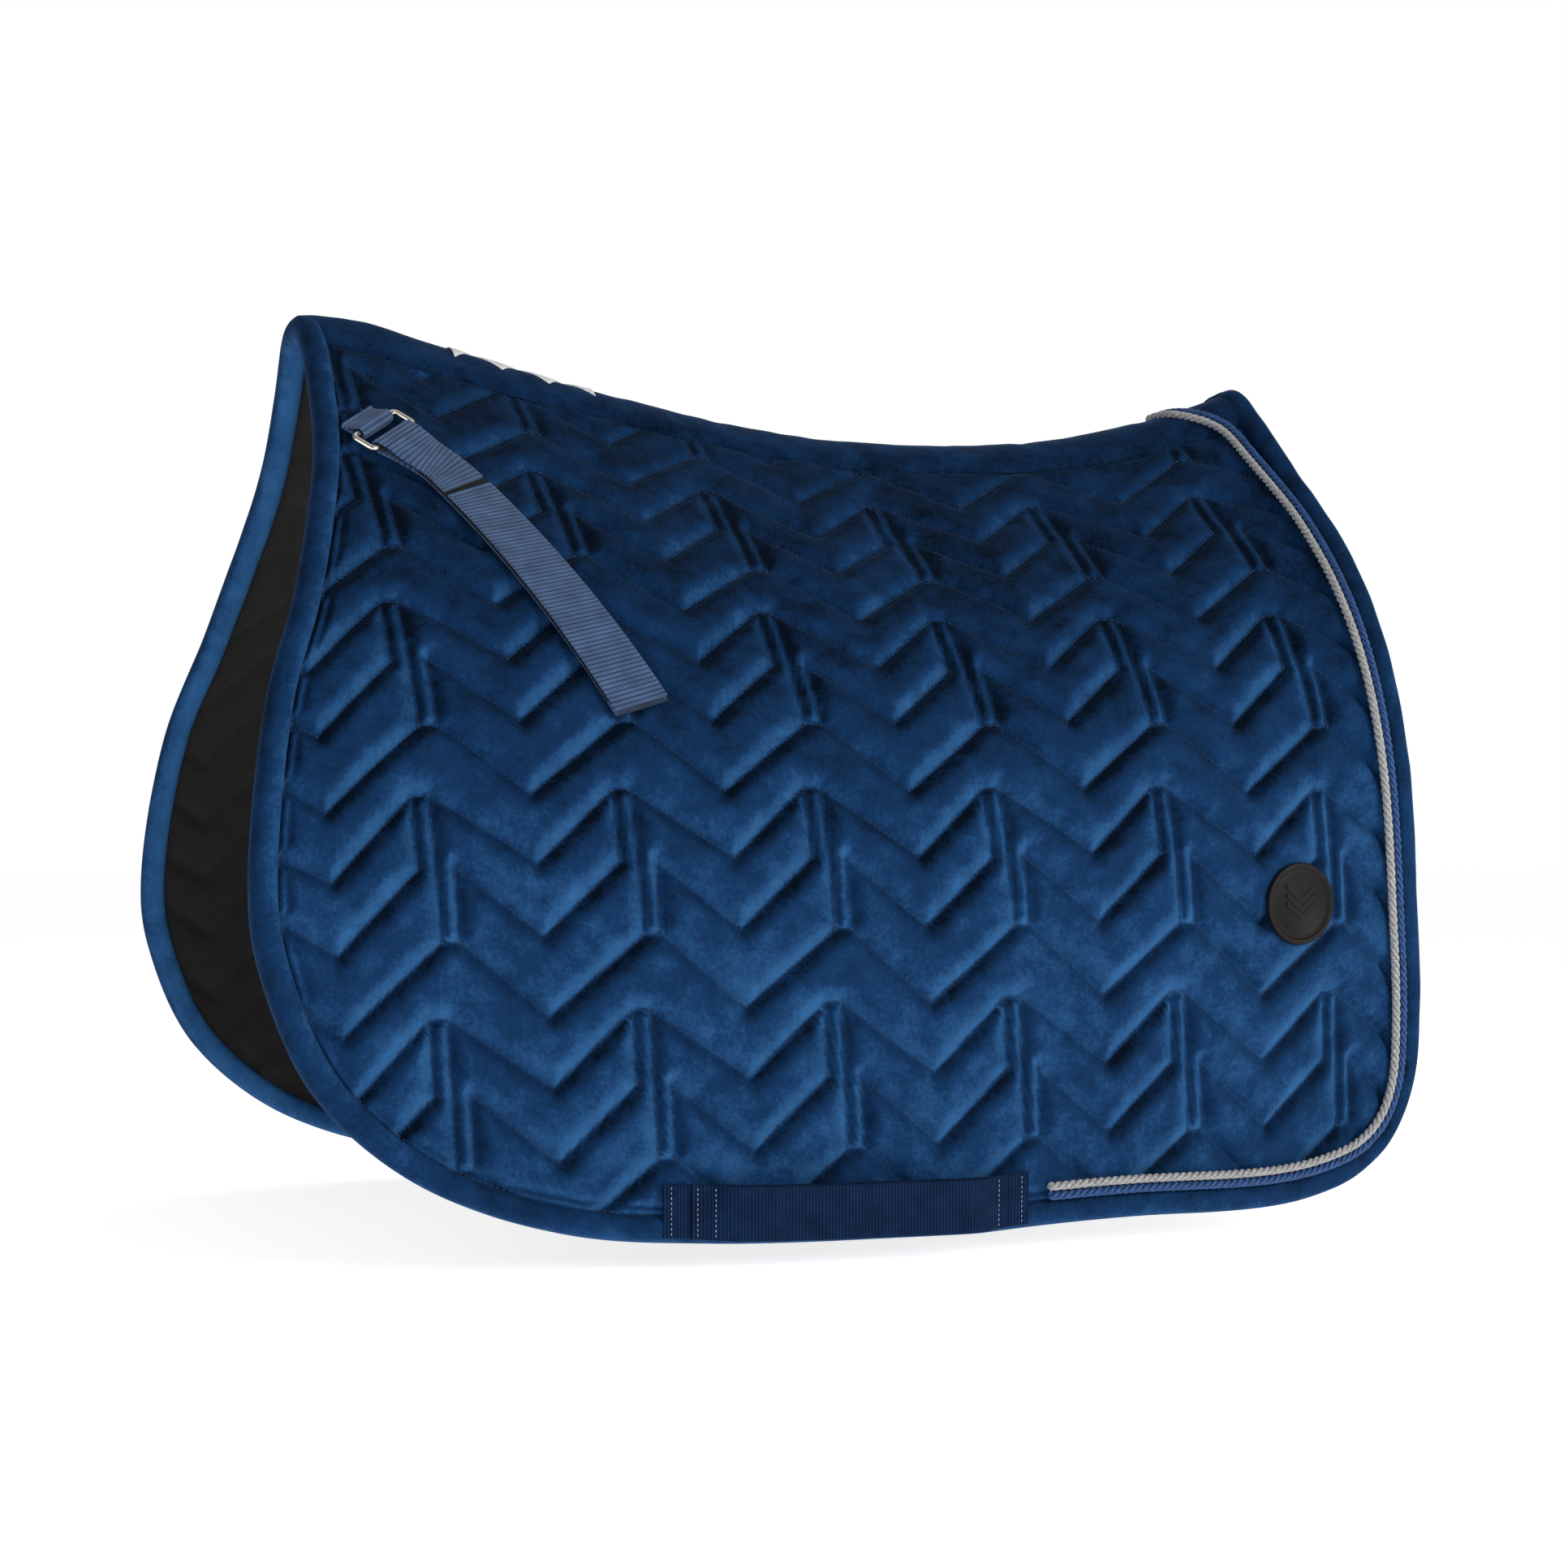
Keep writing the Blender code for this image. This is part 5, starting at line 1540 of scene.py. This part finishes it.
    def ring(self) -> None:
        """The rectangular wire ring with round corners."""
        bar, high = self.bar_spacing / 2, self.ring_height
        anchor_bar, strap_bar = self.spot(-bar, 0, high), self.spot(bar, 0, high)
        middle, along = (anchor_bar + strap_bar) / 2, strap_bar - anchor_bar
        half_l, half_a = np.linalg.norm(along) / 2, self.ring_inside / 2 + self.bar_radius
        along = unit(along)
        across = unit(self.spot(0, half_a, high) - self.spot(0, -half_a, high))
        out = np.cross(along, across)
        path = []
        for first, (l, a) in enumerate([(1, 1), (-1, 1), (-1, -1), (1, -1)]):
            centre = np.array([l * (half_l - self.ring_corner), a * (half_a - self.ring_corner)])
            for t in np.radians(np.linspace(90 * first, 90 * first + 90, 9)):
                path.append(centre + self.ring_corner * np.array([math.cos(t), math.sin(t)]))
        path = np.array(path)
        way = unit(np.roll(path, -1, 0) - np.roll(path, 1, 0))
        outward = np.stack([way[:, 1], -way[:, 0]], 1)
        turns = np.linspace(0, 2 * math.pi, 18, endpoint=False)
        spots = path[:, None] + self.bar_radius * np.cos(turns)[None, :, None] * outward[:, None]
        rings = middle + spots[..., :1] * along + spots[..., 1:] * across
        rings = rings + self.bar_radius * np.sin(turns)[None, :, None] * out
        label = self.side.label
        piece = sweep(f"{label}_strap_ring_wire", rings, self.shop.finishes.nickel, closed=True)
        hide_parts(f"{label}_strap_ring")
        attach(piece, f"{label}_ring")

    def stitching(self) -> None:
        """Rows of stitches across the ends of the tail and of the top layer."""
        label, half = self.side.label, self.width / 2 - 0.003
        across = np.linspace(-half, half, 9)
        over = self.webbing / 2 + 0.0001
        rows = {"tail": [self.tail[1] - 0.004],
                "strap_top": [self.top[0] + 0.004, self.top[1] - 0.004, self.top[1] - 0.011]}
        for body, places in rows.items():
            lines = [self.spot(l, across, self.high + over) for l in places]
            piece = self.shop.sew(f"{label}_{body}_thread", lines, self.shop.finishes.thread, Spacing=0.0026,
                                  Length=0.0019, Thread=0.0006)
            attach(piece, f"{label}_{body}")


@dataclass
class SpineBand:
    """The plain velvet band over the spine, the tape under it and the embroidered lozenges."""

    shop: Workshop
    half: float = 0.0505
    step: float = 0.0028
    velvet: float = 0.0012
    dip: float = 0.0034
    swell: float = 0.0016
    stack: float = 0.0131
    tape_gap: float = 0.0014
    tape: float = 0.0011
    motif: tuple[float, float] = (-0.262, -0.172)
    lozenges: int = 3
    motif_half: float = 0.028
    waist: float = 0.0040
    satin: float = 0.0008
    thread: float = 0.00042
    thread_pitch: float = 0.0006

    def build(self) -> None:
        """Makes the band, the tape and the embroidery, which stay on the fixed upper pad."""
        self.band()
        self.under_tape()
        self.embroidery()

    def band(self) -> None:
        """The velvet band, softly swollen, and dipping to its two seams."""
        inner = self.shop.outline.inset(self.shop.outline.panel_inset)
        first = inner[: self.shop.outline.steps + 1]
        last = inner[-self.shop.outline.steps - 1 :]
        s = np.linspace(-self.half, self.half, round(2 * self.half / self.step) + 1)
        front = np.interp(np.abs(s), first[:, 1], first[:, 0])
        rear = np.interp(np.abs(s), last[::-1, 1], last[::-1, 0])
        part = np.linspace(0, 1, round((rear[0] - front[0]) / self.step) + 1)
        x = front[:, None] + (rear - front)[:, None] * part
        grid = np.stack([x, np.broadcast_to(s[:, None], x.shape)], -1)
        height = self.height(grid)
        off_centre = np.where(np.abs(grid[..., 1]) < 1e-6, -1e-6, grid[..., 1])
        face, out = self.shop.drape.lay(grid[..., 0], off_centre)
        outer = face + height[..., None] * out
        # Painted shade and sheen: darker where the band faces up, and shifted with the slope of its swell
        # across the spine.
        nap = np.clip(0.42 - 0.20 * out[..., 2] + 0.12 * np.gradient(height, axis=0) / self.step, 0, 1)
        piece = slab("spine_band_velvet", outer, outer - self.velvet * out, self.shop.finishes.velvet, grid,
                     nap=nap)
        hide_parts("spine_band")
        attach(piece, "root")
        report(piece)

    def height(self, places: Array) -> Array:
        """Height of the band's face over the smooth drape: swollen, softly creased, and low at its seams."""
        full = eased(self.half - np.abs(places[..., 1]), 0.012)
        creases = 0.0010 * Grain(0.030, 21, 2.2, 8).at(places) + 0.0005 * Grain(0.011, 22, 2.0, 75).at(places)
        return -self.dip + (self.dip + self.swell + creases) * full

    def under_tape(self) -> None:
        """The tape that covers the lining's seam under the spine."""
        short, half = 0.019, 0.030
        ends = self.shop.outline.points[0][0] + short, self.shop.outline.points[-1][0] - short
        x, s = np.meshgrid(np.linspace(*ends, 160), np.linspace(-half, half, 25))
        grid = np.stack([x, s], -1)
        rib = 0.0002 * np.cos(s / half * math.pi * 6)
        top = -self.stack - self.tape_gap
        outer = self.shop.drape.place(x, s, top)
        inner = self.shop.drape.place(x, s, top - self.tape + rib)
        piece = slab("spine_tape_woven", outer, inner, self.shop.finishes.lining, grid)
        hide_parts("spine_tape")
        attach(piece, "root")

    def embroidery(self) -> None:
        """Three lozenges in satin stitch: threads laid side by side across each of them."""
        start, end = self.motif
        lines = []
        for share in np.linspace(0, 1, round((end - start) / self.thread_pitch)):
            wave = abs((share * self.lozenges * 2 + 1) % 2 - 1)
            half = self.waist + (self.motif_half - self.waist) * (1 - wave)
            x, s = np.full(13, start + (end - start) * share), np.linspace(-half, half, 13)
            under = self.height(np.stack([x, s], -1))
            high = under + 0.0002 + self.satin * np.sqrt(np.maximum(1 - (s / half) ** 2, 0))
            lines.append(self.shop.drape.place(x, s, high))
        turns = np.linspace(0, 2 * math.pi, 6, endpoint=False)
        circle = self.thread * np.stack([np.cos(turns), 0 * turns, np.sin(turns)], 1)
        threads = np.array(lines)[:, :, None] + circle
        count, stations, around = threads.shape[:3]
        points, size = threads.reshape(-1, 3), stations * around
        first, last = np.arange(around), np.arange(size - around, size)
        tube = np.concatenate([tube_faces(stations, around), end_faces(first[::-1]), end_faces(last)])
        one = turned_out(points[:size], tube)
        faces = np.concatenate([one + k * size for k in range(count)])
        piece = mesh_piece("spine_motif_satin", points, faces, self.shop.finishes.embroidery)
        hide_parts("spine_motif")
        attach(piece, "root")
        report(piece)


# ---------------------------------------------------------------- the setting


@dataclass
class Studio:
    """The pale floor, the soft lights and the camera."""

    target: tuple[float, float, float] = (-0.0367, 0.0, -0.2078)
    azimuth: float = -18.5
    elevation: float = -1.3
    distance: float = 1.949
    lens: float = 68.4
    floor_drop: float = 0.012

    def camera(self) -> None:
        """Places the camera at the near side, a little towards the head."""
        turn, lift = math.radians(self.azimuth), math.radians(self.elevation)
        back = Vector((math.sin(turn) * math.cos(lift), -math.cos(turn) * math.cos(lift), math.sin(lift)))
        data = bpy.data.cameras.new("camera")
        data.lens, data.sensor_width = self.lens, 36.0
        camera = bpy.data.objects.new("camera", data)
        camera.location = Vector(self.target) + self.distance * back
        camera.rotation_euler = (-back).to_track_quat("-Z", "Y").to_euler()
        bpy.context.scene.collection.objects.link(camera)
        bpy.context.scene.camera = camera

    def light(self, name: str, at: tuple[float, float, float], size: float, power: float, tint: str) -> None:
        """A square soft light that faces the pad."""
        data = bpy.data.lights.new(name, "AREA")
        data.size, data.energy, data.color = size, power, linear(tint)[:3]
        lamp = bpy.data.objects.new(name, data)
        lamp.location = at
        lamp.rotation_euler = (Vector(self.target) - Vector(at)).to_track_quat("-Z", "Y").to_euler()
        bpy.context.scene.collection.objects.link(lamp)

    def floor(self, level: float) -> None:
        """A wide pale floor just under the flaps."""
        corner = 30.0
        points = np.array([(-corner, -corner, level), (corner, -corner, level), (corner, corner, level),
                           (-corner, corner, level)])
        finish, _ = new_material("matt_white_floor", Base_Color=linear("#fafafa"), Roughness=0.9,
                                 Specular_IOR_Level=0.1, Emission_Color=(1, 1, 1, 1), Emission_Strength=0.76)
        mesh_piece("floor", points, np.array([[0, 1, 2, 3]]), finish, smooth=False)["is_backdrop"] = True

    def sky(self) -> None:
        """An even white surround, which lights the pad less than it shows behind it."""
        world = bpy.data.worlds.new("white_surround")
        bpy.context.scene.world = world
        world.use_nodes = True
        tree = world.node_tree
        paths = add_node(tree, "ShaderNodeLightPath")
        power = add_node(tree, "ShaderNodeMapRange", {"Value": paths.outputs["Is Camera Ray"], "To Min": 0.24,
                                                      "To Max": 1.0})
        tree.links.new(power.outputs["Result"], tree.nodes["Background"].inputs["Strength"])
        tree.nodes["Background"].inputs["Color"].default_value = (1, 1, 1, 1)

    def build(self, low: Vector) -> None:
        """Sets up the camera, lights and floor under the object's lowest point."""
        self.camera()
        self.sky()
        self.floor(low.z - self.floor_drop)
        self.light("key", (1.5, -2.3, 0.55), 1.1, 44.0, "#fffaf2")
        self.light("fill", (-1.9, -1.9, 0.1), 1.8, 20.0, "#eef4ff")
        self.light("top", (0.1, 0.3, 2.2), 1.6, 5.0, "#ffffff")
        self.light("rim", (1.2, 2.0, 0.9), 1.4, 14.0, "#ffffff")
        bpy.context.scene.view_settings.view_transform = "Standard"


def main() -> None:
    """Builds the pad's looks around its frame, in order."""
    logging.basicConfig(level=logging.INFO, format="%(message)s")
    for obj in list(bpy.data.objects):
        bpy.data.objects.remove(obj)
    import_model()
    cad_low, cad_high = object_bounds()
    studio = Studio()
    studio.build(cad_low)
    shop = Workshop()
    SpineBand(shop).build()
    for side in Side:
        panel = QuiltedPanel(shop, side)
        panel.build()
        panel.thread()
        EdgeBinding(shop, side).build()
        CordTrim(shop, side).build()
        GirthKeeper(shop, side).build()
        RubberBadge(shop, side).build()
        BilletStrap(shop, side).build()


if __name__ == "__main__":
    main()
